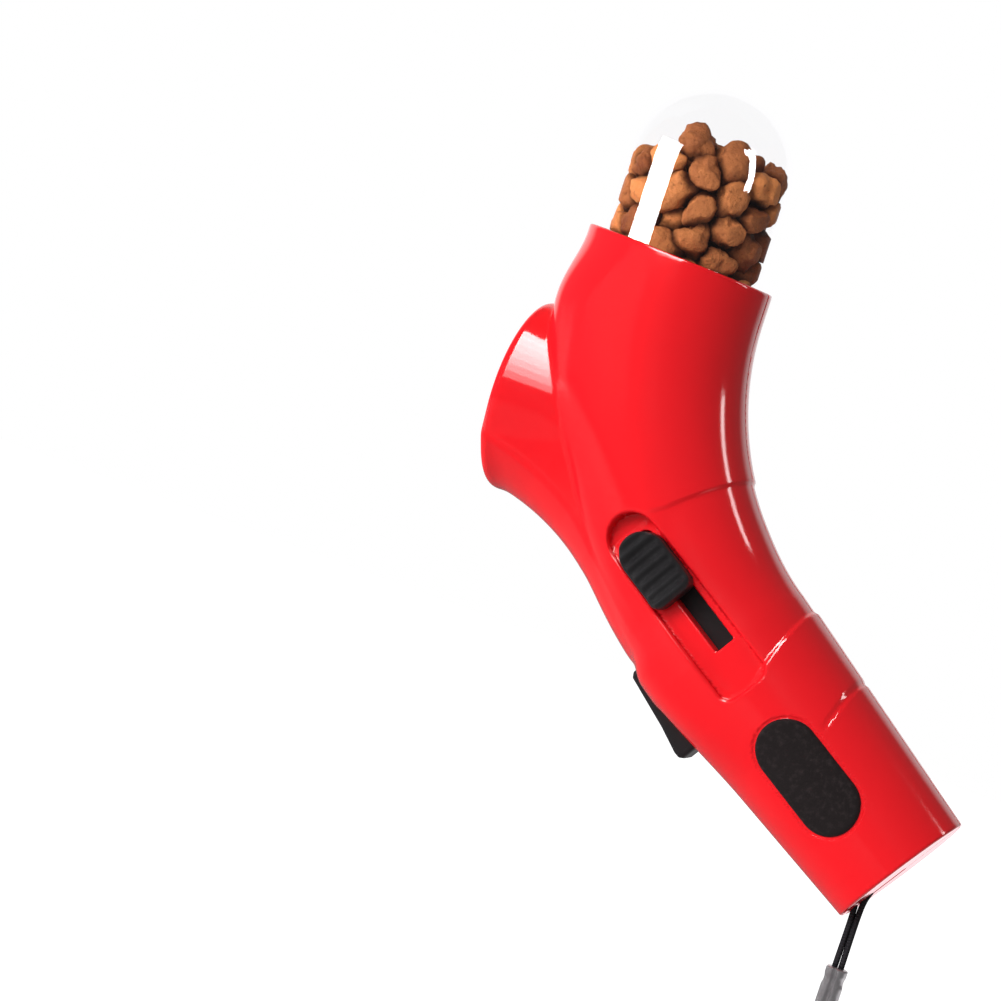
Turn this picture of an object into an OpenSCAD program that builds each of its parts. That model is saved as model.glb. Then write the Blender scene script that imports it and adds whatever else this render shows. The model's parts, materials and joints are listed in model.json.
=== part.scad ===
// Hand-held treat launcher: a bent plastic body with a clear canister on top,
// a short wide nozzle in front, a sprung plunger drawn back by a side slider,
// a trigger with its sear, two grip pads and a wrist strap at the base.
// Millimetres. +Z runs up the canister, the nozzle faces -X, the slider is on -Y.
// The origin is the middle of the hand grip on the handle's axis.

/* [Body] */
// Outside radius of the barrel that holds the canister
barrel_r = 24.3; // [24.1:0.1:24.6]
// Height of the barrel's rim above the nozzle's axis
rim_z = 44.9; // [44:0.1:46]
// Straight length of the barrel above the bend
barrel_straight = 9.8; // [9:0.1:10.5]
// Radius of the bend, from its centre to the handle's axis
bend_r = 93.5; // [92.5:0.5:94.5]
// Angle that the handle turns away from the canister's axis
bend_angle = 57; // [56.5:0.5:57.5]
// Radius of the handle where it leaves the bend
handle_r = 22.3; // [22.1:0.1:22.6]
// Radius of the handle at its base
base_r = 18.2; // [18:0.1:18.6]
// Length of the straight part of the handle
handle_l = 67; // [66:0.5:70]
// Wall thickness of the shells
wall = 2.2; // [2:0.1:2.4]
// Thickness of the flat base
base_t = 2.6; // [2.2:0.1:3]

/* [Nozzle] */
// Outside radius of the mouth
nozzle_r = 24.6; // [24.5:0.1:25]
// Distance from the canister's axis to the mouth
nozzle_reach = 28; // [27.5:0.5:29]
// Radius of the fillet under the nozzle
chin_edge_r = 61; // [60:0.5:62]

/* [Canister] */
// Outside radius of the clear canister
canister_r = 20.7; // [20.4:0.1:20.8]
// Wall thickness of the canister
canister_wall = 1.6; // [1.4:0.1:1.8]
// Height of the canister that shows above the rim
canister_show = 42.4; // [40:0.2:45]
// Depth that the canister goes into the barrel
canister_depth = 24; // [22:0.5:25]
// Radius of one treat
treat_r = 4.5; // [4.3:0.1:4.5]

/* [Launcher] */
// Outside radius of the launch tube
launch_r = 13.2; // [13:0.1:13.3]
// Wall thickness of the launch tube
launch_wall = 1.1; // [1:0.1:1.3]
// Distance that the slider draws the plunger back
draw = 26; // [24:0.5:26]
// Radius of the plunger's rod
rod_r = 3.5; // [3.2:0.1:3.7]
// Wire thickness of the launch spring
spring_wire = 1.4; // [1.2:0.1:1.5]
// Turns of the launch spring
spring_turns = 8; // [7:1:9]

/* [Slider and trigger] */
// Width of the slot that the slider's stem runs in
slot_w = 5.4; // [5:0.1:6]
// Width of the track that the thumb piece slides in
track_w = 12.8; // [12.4:0.1:13.2]
// Width of the trigger
trigger_w = 9; // [8:0.5:9.5]
// Radius of the trigger's pin
trigger_pin_r = 1.2; // [1.1:0.05:1.3]
// Radius of the sear's pin
sear_pin_r = 1; // [0.9:0.05:1.1]

/* [Grip and strap] */
// Length of a grip pad along the handle
pad_l = 31.4; // [30:0.2:33]
// Width of a grip pad across the handle
pad_w = 15.8; // [15:0.2:17]
// Thickness of the strap's thin cord
thin_cord = 1.5; // [1.3:0.1:1.6]
// Width of the wrist loop's flat cord
loop_w = 4.6; // [4:0.1:5]
// Thickness of the wrist loop's flat cord
loop_t = 1.2; // [1:0.1:1.4]
// Length of the ferrule that joins the two cords
ferrule_l = 14; // [13:0.5:15]

/* [Hidden] */
$fn = 64;

// Clearances: a snug seat, a running fit, a free gap between moving faces, and overcut
snug = 0.05;
running = 0.06;
free_gap = 0.3;
over = 1;
seam_gap = 0.1;

// The bend turns about one centre; the barrel's sleeve steps down to the handle's tube
back_step = 0.7;
sleeve_bend_r = bend_r + barrel_r - handle_r - back_step;
sleeve_angle = 34.2;
bend_x = sleeve_bend_r;
bend_z = rim_z - barrel_straight;
handle_x = bend_x - bend_r * cos(bend_angle);
handle_z = bend_z - bend_r * sin(bend_angle);
handle_in_r = handle_r - wall;
base_in_r = base_r - wall;
hollow_l = handle_l - base_t;
function hollow_r(t) = handle_in_r + (base_in_r - handle_in_r) * t / handle_l;
function skin_r(t) = handle_r + (base_r - handle_r) * t / handle_l;

// The grip point, which is the model's origin
grip_t = 25;
grip_x = handle_x + grip_t * sin(bend_angle);
grip_z = handle_z - grip_t * cos(bend_angle);

// Nozzle cone and the fillet swept under it
nozzle_l = 33;
nozzle_taper = 8.1;
nozzle_back_r = nozzle_r - nozzle_taper;
chin_r = 18;
chin_lead = 9.7;
chin_rise = 1.5;
chin_x = -nozzle_reach - chin_lead;
chin_z = -nozzle_r + chin_rise - chin_edge_r;
chin_from = 10.2;
chin_to = 39;
chin_tail = 24;
chin_tail_r = chin_r - 3;

// Canister, its socket and its contents
socket_r = canister_r + free_gap;
canister_z = rim_z - canister_depth;
dome_z = rim_z + canister_show - canister_r;
canister_in_r = canister_r - canister_wall;
seal_r = 0.5;
seal_z = canister_z + 8;
funnel_z = canister_z - 2.4;
funnel_t = 1.8;
funnel_lip = 3.5;
funnel_cone = 9;
funnel_neck = 7.5;
throat_r = 8.5;

// Launch tube and plunger along the handle's axis, t measured from the end of the bend
launch_in_r = launch_r - launch_wall;
launch_front = -77;
launch_back = -12;
launch_end_t = 2;
piston_r = launch_in_r - free_gap;
piston_front = launch_front + 2.5;
piston_l = draw + 2;
pad_disc_t = 2;
finger_u = handle_r - 6.9;
sear_hub_r = 2.7;
sear_u = finger_u - 2.9;
collar_r = sear_u - sear_hub_r - free_gap;
collar_front = launch_back + 3;
collar_l = 8;
collar_back = collar_front + collar_l;
collar_groove_r = collar_r - 2.5;
collar_groove = [collar_front + 1.7, collar_back - 1.7];
seat_front = handle_l - 27;
seat_t = 3;
rod_back = seat_front - 10.5;
spring_mid_r = collar_groove_r;
spring_from = collar_back + spring_wire / 2 + snug;
spring_to = seat_front - spring_wire / 2 - snug;

// Slider plate inside the left wall, its stem through the slot, and the thumb piece in its track
slide_u = -3.1;
plate_in = launch_r + 0.4;
plate_t = 1.8;
plate_out = plate_in + plate_t;
plate_half = slot_w / 2 + 3.3;
plate_gap = 0.6;
track_u = -1.3;
track_y = handle_r - 2.1;
track_rim = 1.4;
track_front = -39.6;
knob_in = track_y + free_gap;
knob_t = 5.4;
knob_l = 19;
knob_w = track_w - 0.8;
knob_front = track_front + 5.8;
track_back = knob_front + knob_l + draw + 1;
stem_l = 5.5;
stem_w = slot_w - 1;
stem_front = knob_front + 2;
slot_front = stem_front - 2;
slot_back = stem_front + stem_l + draw + 1;
plate_front = slot_front - 2;
plate_back = slot_back + 1.5;
tab_in = collar_groove_r + 0.4;
slider_screw_r = 1.3;
slider_screw_t = stem_front + stem_l / 2;

// Trigger and sear, u measured from the handle's axis towards the finger side
trigger_t = -8.5;
trigger_u = handle_r - 3.1;
trigger_hub_r = 2.6;
trigger_top = -11;
trigger_low = 13.6;
sear_t = 8;
sear_w = 6;
boss_gap = 0.4;
boss_in = trigger_w / 2 + 0.7;
pin_half = boss_in + 3;
sear_pin_half = sear_w / 2 + 4.5;
trigger_spring_wire = 0.7;
trigger_spring_r = trigger_pin_r + 0.15 + trigger_spring_wire / 2;

// Shell screws across the seam, each at [t, u] in the handle's frame
screw_low_t = handle_l - 15;
screw_places = [[screw_low_t, 10.5], [screw_low_t, -10.5], [8, -15.8], [-22, -18.5]];
post_r = 2.9;
screw_r = 1.2;
screw_head_r = 2.1;
screw_head_t = 1.6;
screw_head_y = 8;
screw_tip_y = -6;

// Cradles under the launch tube, the rib at the end of the bend and the ring behind the
// spring seat, each [from, to] along t
cradles = [[-31, -28.5], [-17, -14.5]];
low_cradle = [-63, -60.5];
bend_rib = [-1.5, 1.5];
bend_rib_in_r = handle_in_r - 0.8;
seat_ring = [seat_front + seat_t + snug, seat_front + seat_t + 2.5];
seat_r = hollow_r(seat_front + seat_t) - snug;

// Grip pads, set into both sides of the handle
pad_mid_t = handle_l - 29.6;
pad_mid_u = 0.5;
pad_sink = 1;
pad_proud = 0.5;

// Strap pin and pocket in the base, and the cords that hang from it
strap_t = handle_l - 6.5;
strap_u = 3.3;
wrap_r = 2.05 * thin_cord;
strap_pin_r = wrap_r - thin_cord / 2 - 0.1;
strap_boss_r = strap_pin_r + 1.5;
pocket_half = thin_cord / 2 + 0.85;
pocket_reach = wrap_r + thin_cord / 2 + free_gap;
strap_pin_half = pocket_half + 4;
strap_x = handle_x + strap_t * sin(bend_angle) - strap_u * cos(bend_angle);
strap_z = handle_z - strap_t * cos(bend_angle) - strap_u * sin(bend_angle);
strap_fall = 28.2;
ferrule_top = strap_z - strap_fall - running;
strand_gap = 0.1;
layer_gap = 0.5;
ferrule_w = max(2 * thin_cord + strand_gap, loop_w) + 0.8;
ferrule_d = max(thin_cord, 2 * loop_t + layer_gap) + 0.8;
strand = (thin_cord + strand_gap) / 2;
layer = (loop_t + layer_gap) / 2;
wrap = [for (turn = [180 : -30 : 0]) wrap_r * [cos(turn), sin(turn)]];
thin_down = [[wrap_r, -2], [(wrap_r + strand) / 2, -7.5], [strand, -13], [strand, -strap_fall]];
thin_up = [for (i = [3 : -1 : 0]) [-thin_down[i][0], thin_down[i][1]]];
thin_route = concat(thin_up, wrap, thin_down);
loop_down = [[4, -15], [13, -34], [22, -56], [23, -78], [14, -94]];
loop_half = concat([[layer, -free_gap], [layer, -3]], loop_down);
loop_route = concat(
    [for (point = loop_half) [-point[0], point[1]]], [[0, -100]],
    [for (i = [len(loop_half) - 1 : -1 : 0]) loop_half[i]]
);

// Places everything with the grip point at the origin
module grip_frame() {
    translate([-grip_x, 0, -grip_z]) children();
}

// The handle's own frame: +Z runs down the handle, +X towards the trigger
module on_handle() {
    translate([handle_x, 0, handle_z]) rotate([0, 180 - bend_angle, 0]) children();
}

// A flat outline given as [u, t] points, made w thick about the seam
module plate_of(points, w) {
    rotate([90, 0, 0]) linear_extrude(w, center = true) polygon(points);
}

// A cylinder across the seam at [t, u], from one y to another
module cross_rod(t, u, r, from, to) {
    translate([u, from, t]) rotate([-90, 0, 0]) cylinder(r = r, h = to - from);
}

// A round tube that follows the bend
module bend_tube(centre_r, r, from, to) {
    translate([bend_x, 0, bend_z]) rotate([90, 0, 0]) rotate([0, 0, 180 + from])
        rotate_extrude(angle = to - from) translate([centre_r, 0]) circle(r);
}

// The fillet under the nozzle
module chin(inset) {
    translate([chin_x, 0, chin_z]) rotate([90, 0, 0]) rotate([0, 0, 90 - chin_to])
        rotate_extrude(angle = chin_to - chin_from) translate([chin_edge_r + chin_r, 0]) circle(chin_r - inset);
}

// The end of that fillet, which sinks into the handle
module chin_end() {
    sweep_r = chin_edge_r + chin_r;
    translate([chin_x + sweep_r * sin(chin_to), 0, chin_z + sweep_r * cos(chin_to)])
        rotate([0, 90 + chin_to, 0]) cylinder(r1 = chin_r, r2 = chin_tail_r, h = chin_tail);
}

// The outside of the whole body, with a short core across the end of the bend
module body_form() {
    translate([0, 0, bend_z]) cylinder(r = barrel_r, h = barrel_straight);
    bend_tube(sleeve_bend_r, barrel_r, 0, sleeve_angle);
    bend_tube(bend_r, handle_r, sleeve_angle - 8, bend_angle);
    on_handle() {
        cylinder(r1 = handle_r, r2 = base_r, h = handle_l);
        translate([0, 0, -over]) cylinder(r = handle_r - wall / 4, h = 2 * over);
    }
    translate([-nozzle_reach, 0, 0]) rotate([0, 90, 0])
        cylinder(r1 = nozzle_r, r2 = nozzle_back_r, h = nozzle_l);
    chin(0);
    chin_end();
}

// The space inside the body
module body_hollow() {
    slope = (nozzle_r - nozzle_back_r) / nozzle_l;
    translate([0, 0, funnel_z]) cylinder(r = socket_r, h = rim_z - funnel_z + over);
    bend_tube(sleeve_bend_r, socket_r - 0.5, 0, sleeve_angle - 4);
    bend_tube(bend_r, handle_in_r, sleeve_angle - 14, bend_angle);
    on_handle() {
        cylinder(r1 = handle_in_r, r2 = hollow_r(hollow_l), h = hollow_l);
        translate([0, 0, -over]) cylinder(r = bend_rib_in_r + 0.2, h = 2 * over);
    }
    translate([-nozzle_reach - over, 0, 0]) rotate([0, 90, 0])
        cylinder(r1 = nozzle_r - wall + slope * over, r2 = nozzle_back_r - wall, h = nozzle_l + over);
    chin(wall);
}

// A flat ring about the handle's axis, [from, to] along t
module ring_rib(run, in_r, out_r) {
    translate([0, 0, run[0]]) difference() {
        cylinder(r = out_r, h = run[1] - run[0]);
        translate([0, 0, -over]) cylinder(r = in_r, h = run[1] - run[0] + 2 * over);
    }
}

// Posts, bosses and cradles before they are trimmed to the body
module fittings() {
    on_handle() {
        for (place = screw_places) cross_rod(place[0], place[1], post_r, -handle_r, handle_r);
        cross_rod(trigger_t, trigger_u, trigger_hub_r + 0.6, -handle_r, handle_r);
        cross_rod(sear_t, sear_u, sear_hub_r + 0.3, -handle_r, handle_r);
        cross_rod(strap_t, strap_u, strap_boss_r, -handle_r, handle_r);
        for (rib = cradles) {
            translate([0, 0, rib[0]]) cylinder(r = 2 * handle_r, h = rib[1] - rib[0]);
        }
        translate([launch_r, 0, (low_cradle[0] + low_cradle[1]) / 2])
            cube([2 * launch_r - 8, 3 * launch_r, low_cradle[1] - low_cradle[0]], center = true);
        ring_rib(seat_ring, seat_r - 3, handle_r);
        ring_rib(bend_rib, bend_rib_in_r, handle_r - wall / 2);
    }
    slider_track(track_rim, -plate_out);
}

// Everything that is taken out of both shells
module shell_cuts() {
    on_handle() {
        translate([0, 0, launch_front - over])
            cylinder(r = launch_r + snug, h = launch_back - launch_front + 2 * over);
        translate([slide_u - plate_half - plate_gap, -plate_out - plate_gap, plate_front - over])
            cube([2 * (plate_half + plate_gap), plate_t + 2 * plate_gap, plate_back - plate_front + draw + 2 * over]);
        translate([finger_u - 2, -trigger_w / 2 - boss_gap, trigger_top - 1.6])
            cube([2 * handle_r, trigger_w + 2 * boss_gap, trigger_low - trigger_top + 3]);
        translate([sear_u - 5, -sear_w / 2 - boss_gap, -4])
            cube([10, sear_w + 2 * boss_gap, 26]);
        cross_rod(trigger_t, trigger_u, trigger_pin_r + snug, -pin_half - snug, pin_half + snug);
        cross_rod(sear_t, sear_u, sear_pin_r + snug, -sear_pin_half - snug, sear_pin_half + snug);
        cross_rod(strap_t, strap_u, strap_pin_r + snug, -strap_pin_half - snug, strap_pin_half + snug);
        translate([strap_u - pocket_reach, -pocket_half, strap_t - pocket_reach])
            cube([2 * pocket_reach, 2 * pocket_half, 4 * pocket_reach]);
        translate([strap_u, -pocket_half, hollow_l - over])
            cube([handle_r, 2 * pocket_half, base_t + 2 * over]);
        for (place = screw_places) {
            cross_rod(place[0], place[1], screw_r + snug, screw_tip_y - over, screw_head_y + over);
            cross_rod(place[0], place[1], screw_head_r + snug, screw_head_y, 2 * handle_r);
        }
    }
}

// The stadium outline of a grip pad, drawn across the seam on one side
module pad_outline(side, grow) {
    r = pad_w / 2 + grow;
    half = (pad_l - pad_w) / 2;
    on_handle() translate([pad_mid_u, side > 0 ? 0 : -2 * handle_r, pad_mid_t]) {
        for (end = [-half, half]) {
            translate([0, 0, end]) rotate([-90, 0, 0]) cylinder(r = r, h = 2 * handle_r);
        }
        translate([-r, 0, -half]) cube([2 * r, 2 * handle_r, 2 * half]);
    }
}

// The handle's cone moved in or out along its radius
module handle_skin(grow) {
    on_handle() cylinder(r1 = handle_r + grow, r2 = base_r + grow, h = handle_l);
}

// The pocket that a grip pad is set into
module pad_pocket(side) {
    difference() {
        pad_outline(side, snug);
        handle_skin(-pad_sink - snug);
    }
}

// One half of the body; side is -1 for the left and 1 for the right
module shell(side) {
    difference() {
        intersection() {
            translate([-150, side > 0 ? seam_gap / 2 : -100 - seam_gap / 2, -150]) cube([300, 100, 300]);
            union() {
                difference() {
                    body_form();
                    body_hollow();
                }
                intersection() {
                    body_form();
                    fittings();
                }
            }
        }
        shell_cuts();
        pad_pocket(side);
        if (side < 0) {
            slider_slot();
            slider_track(0, -track_y);
        }
    }
}

// An outline across the left side, round at the front and square at the back, down to in_y
module round_run(from, to, u, half, in_y) {
    on_handle() {
        cross_rod(from + half, u, half, -2 * handle_r, in_y);
        translate([u - half, -2 * handle_r, from + half])
            cube([2 * half, 2 * handle_r + in_y, to - from - half]);
    }
}

// The slot for the slider's stem
module slider_slot() {
    round_run(slot_front, slot_back, slide_u, slot_w / 2, -plate_out + over);
}

// The track for the thumb piece, or the boss behind it
module slider_track(grow, in_y) {
    round_run(track_front - grow, track_back + grow, track_u, track_w / 2 + grow, in_y);
}

module left_shell() {
    color("red") grip_frame() shell(-1);
}

module right_shell() {
    color("red") grip_frame() shell(1);
}

module shell_screws() {
    color("silver") grip_frame() on_handle() for (place = screw_places) {
        cross_rod(place[0], place[1], screw_r, screw_tip_y, screw_head_y + snug);
        difference() {
            cross_rod(place[0], place[1], screw_head_r, screw_head_y + snug, screw_head_y + snug + screw_head_t);
            for (turn = [0, 90]) {
                translate([place[1], screw_head_y + screw_head_t, place[0]]) rotate([0, turn, 0])
                    cube([0.6, 1.6, 2.6], center = true);
            }
        }
    }
}

module canister() {
    color("lavender", 0.4) grip_frame() difference() {
        union() {
            translate([0, 0, canister_z]) cylinder(r = canister_r, h = dome_z - canister_z);
            translate([0, 0, dome_z]) sphere(canister_r);
        }
        translate([0, 0, canister_z - over]) cylinder(r = canister_in_r, h = dome_z - canister_z + over);
        translate([0, 0, dome_z]) sphere(canister_in_r);
        translate([0, 0, seal_z]) rotate_extrude()
            translate([canister_r - 2 * seal_r + 0.1, -seal_r - snug]) square([3, 2 * (seal_r + snug)]);
    }
}

module canister_seal() {
    color("dimgray") grip_frame() translate([0, 0, seal_z]) rotate_extrude()
        translate([canister_r - seal_r + 0.15, 0]) circle(seal_r);
}

// Treats stacked in layers: an outer ring along the wall, an inner ring, and a few on top
module treat_load() {
    layers = 4;
    outer = 9;
    inner = 3;
    outer_r = canister_in_r - treat_r - free_gap;
    inner_r = (treat_r + free_gap / 2) / sin(180 / inner) + 0.05;
    rise = 2 * treat_r + free_gap;
    top = dome_z + 1;
    color("sienna") grip_frame() for (layer = [0 : layers]) translate([0, 0, top + (1 - layer) * rise]) {
        if (layer > 0) for (i = [1 : outer]) rotate([0, 0, 360 * i / outer]) translate([outer_r, 0, 0]) sphere(treat_r);
        for (i = [1 : inner]) rotate([0, 0, 360 * (i / inner + 0.5 / outer)]) translate([inner_r, 0, 0]) sphere(treat_r);
    }
}

// Cone that leads the treats from the canister to the launch tube's window
module feed_funnel() {
    top_r = socket_r - snug;
    low = funnel_z - funnel_cone - funnel_neck;
    color("red") grip_frame() difference() {
        union() {
            translate([0, 0, funnel_z]) cylinder(r = top_r, h = funnel_t);
            translate([0, 0, low]) cylinder(r = throat_r + funnel_t, h = funnel_neck);
            translate([0, 0, low + funnel_neck])
                cylinder(r1 = throat_r + funnel_t, r2 = top_r - funnel_lip, h = funnel_cone);
        }
        translate([0, 0, low + funnel_neck])
            cylinder(r1 = throat_r, r2 = top_r - funnel_lip - funnel_t, h = funnel_cone);
        translate([0, 0, funnel_z - snug]) cylinder(r = top_r - funnel_lip - funnel_t, h = funnel_t + over);
        translate([0, 0, low - over]) cylinder(r = throat_r, h = funnel_neck + 2 * over);
        on_handle() translate([0, 0, launch_front - 20])
            cylinder(r = launch_r + free_gap, h = launch_back - launch_front + 40);
    }
}

module launch_tube() {
    color("gainsboro") grip_frame() difference() {
        on_handle() translate([0, 0, launch_front]) cylinder(r = launch_r, h = launch_back - launch_front);
        on_handle() translate([0, 0, launch_front - over])
            cylinder(r = launch_in_r, h = launch_back - launch_end_t - launch_front + over);
        on_handle() translate([0, 0, launch_back - launch_end_t - over])
            cylinder(r = rod_r + running, h = launch_end_t + 2 * over);
        translate([0, 0, -launch_r]) cylinder(r = throat_r - 0.3, h = 3 * launch_r);
    }
}

// Piston cup and rod in one piece
module plunger() {
    color("whitesmoke") grip_frame() on_handle() {
        difference() {
            translate([0, 0, piston_front]) cylinder(r = piston_r, h = piston_l);
            translate([0, 0, piston_front + 3]) cylinder(r = piston_r - 1.6, h = piston_l);
        }
        translate([0, 0, piston_front + 3 - snug]) cylinder(r = rod_r, h = rod_back - piston_front - 3);
    }
}

// Soft disc on the front of the piston
module plunger_pad() {
    color("dimgray") grip_frame() on_handle() translate([0, 0, piston_front - pad_disc_t])
        cylinder(r = piston_r - 1, h = pad_disc_t);
}

// Grooved collar fixed on the rod, drawn back by the slider and held by the sear
module rod_collar() {
    groove_l = collar_groove[1] - collar_groove[0];
    color("black") grip_frame() on_handle() difference() {
        translate([0, 0, collar_front]) cylinder(r = collar_r, h = collar_l);
        translate([0, 0, collar_front - over]) cylinder(r = rod_r + snug, h = collar_l + 2 * over);
        translate([0, 0, collar_groove[0]]) difference() {
            cylinder(r = collar_r + over, h = groove_l);
            translate([0, 0, -over]) cylinder(r = collar_groove_r, h = groove_l + 2 * over);
        }
    }
}

// Points along a coil about +Z
function coil_points(r, turns, from, to, steps) = [
    for (i = [0 : turns * steps])
        [r * cos(360 * i / steps), r * sin(360 * i / steps), from + (to - from) * i / (turns * steps)]
];

// Least distance between surfaces of one coil's neighbouring turns
function coil_gap(points, steps, wire) = min([
    for (i = [0 : len(points) - steps - 1]) norm(points[i + steps] - points[i])
]) - wire;

// Outlines swept along a route: a round one, and a flat one with eased edges
function round_section(r, sides) = [for (k = [0 : sides - 1]) r * [cos(360 * k / sides), sin(360 * k / sides)]];
function flat_section(w, t) = [
    [t / 2, -w / 2 + t / 3], [t / 2, w / 2 - t / 3], [t / 4, w / 2], [-t / 4, w / 2],
    [-t / 2, w / 2 - t / 3], [-t / 2, -w / 2 + t / 3], [-t / 4, -w / 2], [t / 4, -w / 2]
];

// One tube of a given section swept along points; side is a direction that is never along the path
module swept_tube(points, section, side) {
    last = len(points) - 1;
    sides = len(section);
    rings = [for (i = [0 : last])
        let (along = points[min(i + 1, last)] - points[max(i - 1, 0)],
             across = cross(along, side),
             n = across / norm(across),
             b = cross(n, along) / norm(cross(n, along)))
        for (corner = section) points[i] + corner[0] * n + corner[1] * b];
    walls = [for (i = [0 : last - 1]) for (k = [0 : sides - 1])
        let (a = i * sides + k, c = i * sides + (k + 1) % sides)
        each [[a, c, a + sides], [c, c + sides, a + sides]]];
    ends = [[for (k = [sides - 1 : -1 : 0]) k], [for (k = [0 : sides - 1]) last * sides + k]];
    polyhedron(rings, concat(walls, ends), convexity = 6);
}

module launch_spring() {
    steps = 12;
    points = coil_points(spring_mid_r, spring_turns, spring_from, spring_to, steps);
    echo("launch_spring least gap", coil_gap(points, steps, spring_wire));
    color("silver") grip_frame() on_handle() swept_tube(points, round_section(spring_wire / 2, 8), [0, 0, 1]);
}

// Disc that the launch spring pushes against, held by the rings in both shells
module spring_seat() {
    color("gainsboro") grip_frame() on_handle() difference() {
        translate([0, 0, seat_front]) cylinder(r = seat_r, h = seat_t);
        translate([0, 0, seat_front - over]) cylinder(r = rod_r + free_gap, h = seat_t + 2 * over);
    }
}

// Thumb piece in its track, round at the front, with its stem through the slot
module slider_knob() {
    ridges = 4;
    round_t = knob_front + knob_w / 2;
    square_l = knob_l - knob_w / 2;
    color("black") grip_frame() on_handle() difference() {
        union() {
            translate([slide_u - stem_w / 2, -knob_in - snug, stem_front])
                cube([stem_w, knob_in - plate_out, stem_l]);
            cross_rod(round_t, track_u, knob_w / 2, -knob_in - knob_t, -knob_in);
            translate([track_u - knob_w / 2, -knob_in - knob_t, round_t]) cube([knob_w, knob_t, square_l]);
            for (i = [0 : ridges - 1]) {
                cross_ridge(round_t + square_l * (i + 0.5) / ridges);
            }
        }
        cross_rod(slider_screw_t, slide_u, slider_screw_r + snug, -plate_out - 5, -plate_out + over);
    }
}

// A round ridge across the knob's face
module cross_ridge(t) {
    translate([track_u - knob_w / 2, -knob_in - knob_t + 0.4, t]) rotate([0, 90, 0]) cylinder(r = 1, h = knob_w);
}

// Plate behind the slot, with the tab that draws the collar back
module slider_carriage() {
    tab_u = 5;
    color("black") grip_frame() on_handle() difference() {
        union() {
            translate([slide_u - plate_half, -plate_out + snug, plate_front])
                cube([2 * plate_half, plate_t - snug, plate_back - plate_front]);
            translate([-tab_u / 2, -plate_in - snug, collar_groove[0] + free_gap])
                cube([tab_u, plate_in - tab_in, collar_groove[1] - collar_groove[0] - 2 * free_gap]);
        }
        cross_rod(slider_screw_t, slide_u, slider_screw_r + snug, -plate_out - over, -plate_in + over);
    }
}

// Flush screw that ties the thumb piece to its plate
module slider_screw() {
    color("silver") grip_frame() on_handle()
        cross_rod(slider_screw_t, slide_u, slider_screw_r, -plate_out - 4.5, -plate_in - snug);
}

module trigger() {
    outline = [
        [trigger_u - 2, trigger_top], [skin_r(0) + 0.4, trigger_top], [skin_r(0) + 1.5, trigger_top + 1],
        [skin_r(0) + 2.2, -4], [skin_r(5) + 3.4, 4], [skin_r(10) + 5, 11], [skin_r(10) + 4.9, trigger_low - 1],
        [skin_r(10) + 3.9, trigger_low], [finger_u + 4, trigger_low], [finger_u + 3.6, 9], [finger_u + 1.8, 3],
        [finger_u, 2.5], [finger_u, -0.5], [finger_u + 1.8, -1]
    ];
    color("black") grip_frame() on_handle() difference() {
        union() {
            plate_of(outline, trigger_w);
            cross_rod(trigger_t, trigger_u, trigger_hub_r, -trigger_w / 2, trigger_w / 2);
        }
        cross_rod(trigger_t, trigger_u, trigger_pin_r + running, -trigger_w, trigger_w);
        cross_rod(trigger_t, trigger_u, trigger_hub_r - 0.2, 1, trigger_w);
    }
}

module trigger_pin() {
    color("silver") grip_frame() on_handle()
        cross_rod(trigger_t, trigger_u, trigger_pin_r, -pin_half, pin_half);
}

// Small coil about the trigger's pin that swings the trigger out again
module trigger_spring() {
    steps = 12;
    turns = 2;
    rise = 1.2 * turns;
    points = coil_points(trigger_spring_r, turns, 0, rise, steps);
    echo("trigger_spring least gap", coil_gap(points, steps, trigger_spring_wire));
    color("silver") grip_frame() on_handle()
        translate([trigger_u, 1 + trigger_spring_wire, trigger_t]) rotate([-90, 0, 0])
            swept_tube(points, round_section(trigger_spring_wire / 2, 8), [0, 0, 1]);
}

// Rocker that the trigger's finger pushes, with its nose beside the collar
module sear() {
    outline = [
        [sear_u - 0.3, sear_t - 7.2], [sear_u + 2.5, sear_t - 7.2], [sear_u + 2.7, sear_t],
        [sear_u + 0.7, sear_t + 9], [sear_u - 2.7, sear_t + 9], [sear_u - 2.7, sear_t + 7],
        [sear_u - 1.5, sear_t + 3], [sear_u - 1.5, sear_t - 3]
    ];
    color("dimgray") grip_frame() on_handle() difference() {
        union() {
            plate_of(outline, sear_w);
            cross_rod(sear_t, sear_u, sear_hub_r, -sear_w / 2, sear_w / 2);
        }
        cross_rod(sear_t, sear_u, sear_pin_r + running, -sear_w, sear_w);
    }
}

module sear_pin() {
    color("silver") grip_frame() on_handle()
        cross_rod(sear_t, sear_u, sear_pin_r, -sear_pin_half, sear_pin_half);
}

module grip_pad(side) {
    intersection() {
        pad_outline(side, 0);
        difference() {
            handle_skin(pad_proud);
            handle_skin(-pad_sink);
        }
    }
}

module left_grip_pad() {
    color("black") grip_frame() grip_pad(-1);
}

module right_grip_pad() {
    color("black") grip_frame() grip_pad(1);
}

module strap_pin() {
    color("silver") grip_frame() on_handle()
        cross_rod(strap_t, strap_u, strap_pin_r, -strap_pin_half, strap_pin_half);
}

// A smooth flat line through route points, n steps to each span
function route_point(route, i, f) =
    let (last = len(route) - 1,
         a = route[max(i - 1, 0)], b = route[i], c = route[i + 1], d = route[min(i + 2, last)])
    ((2 * b) + (c - a) * f + (2 * a - 5 * b + 4 * c - d) * f * f + (3 * b - a - 3 * c + d) * f * f * f) / 2;
function smooth_route(route, n) = [
    for (i = [0 : len(route) - 2]) for (k = [0 : n - (i == len(route) - 2 ? 0 : 1)]) route_point(route, i, k / n)
];

// Thin cord looped over the strap pin, both ends on the ferrule
module strap_cord() {
    points = [for (p = smooth_route(thin_route, 2)) [p[0], 0, p[1]]];
    color("black") grip_frame() translate([strap_x, 0, strap_z])
        swept_tube(points, round_section(thin_cord / 2, 8), [0, 1, 0]);
}

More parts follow.
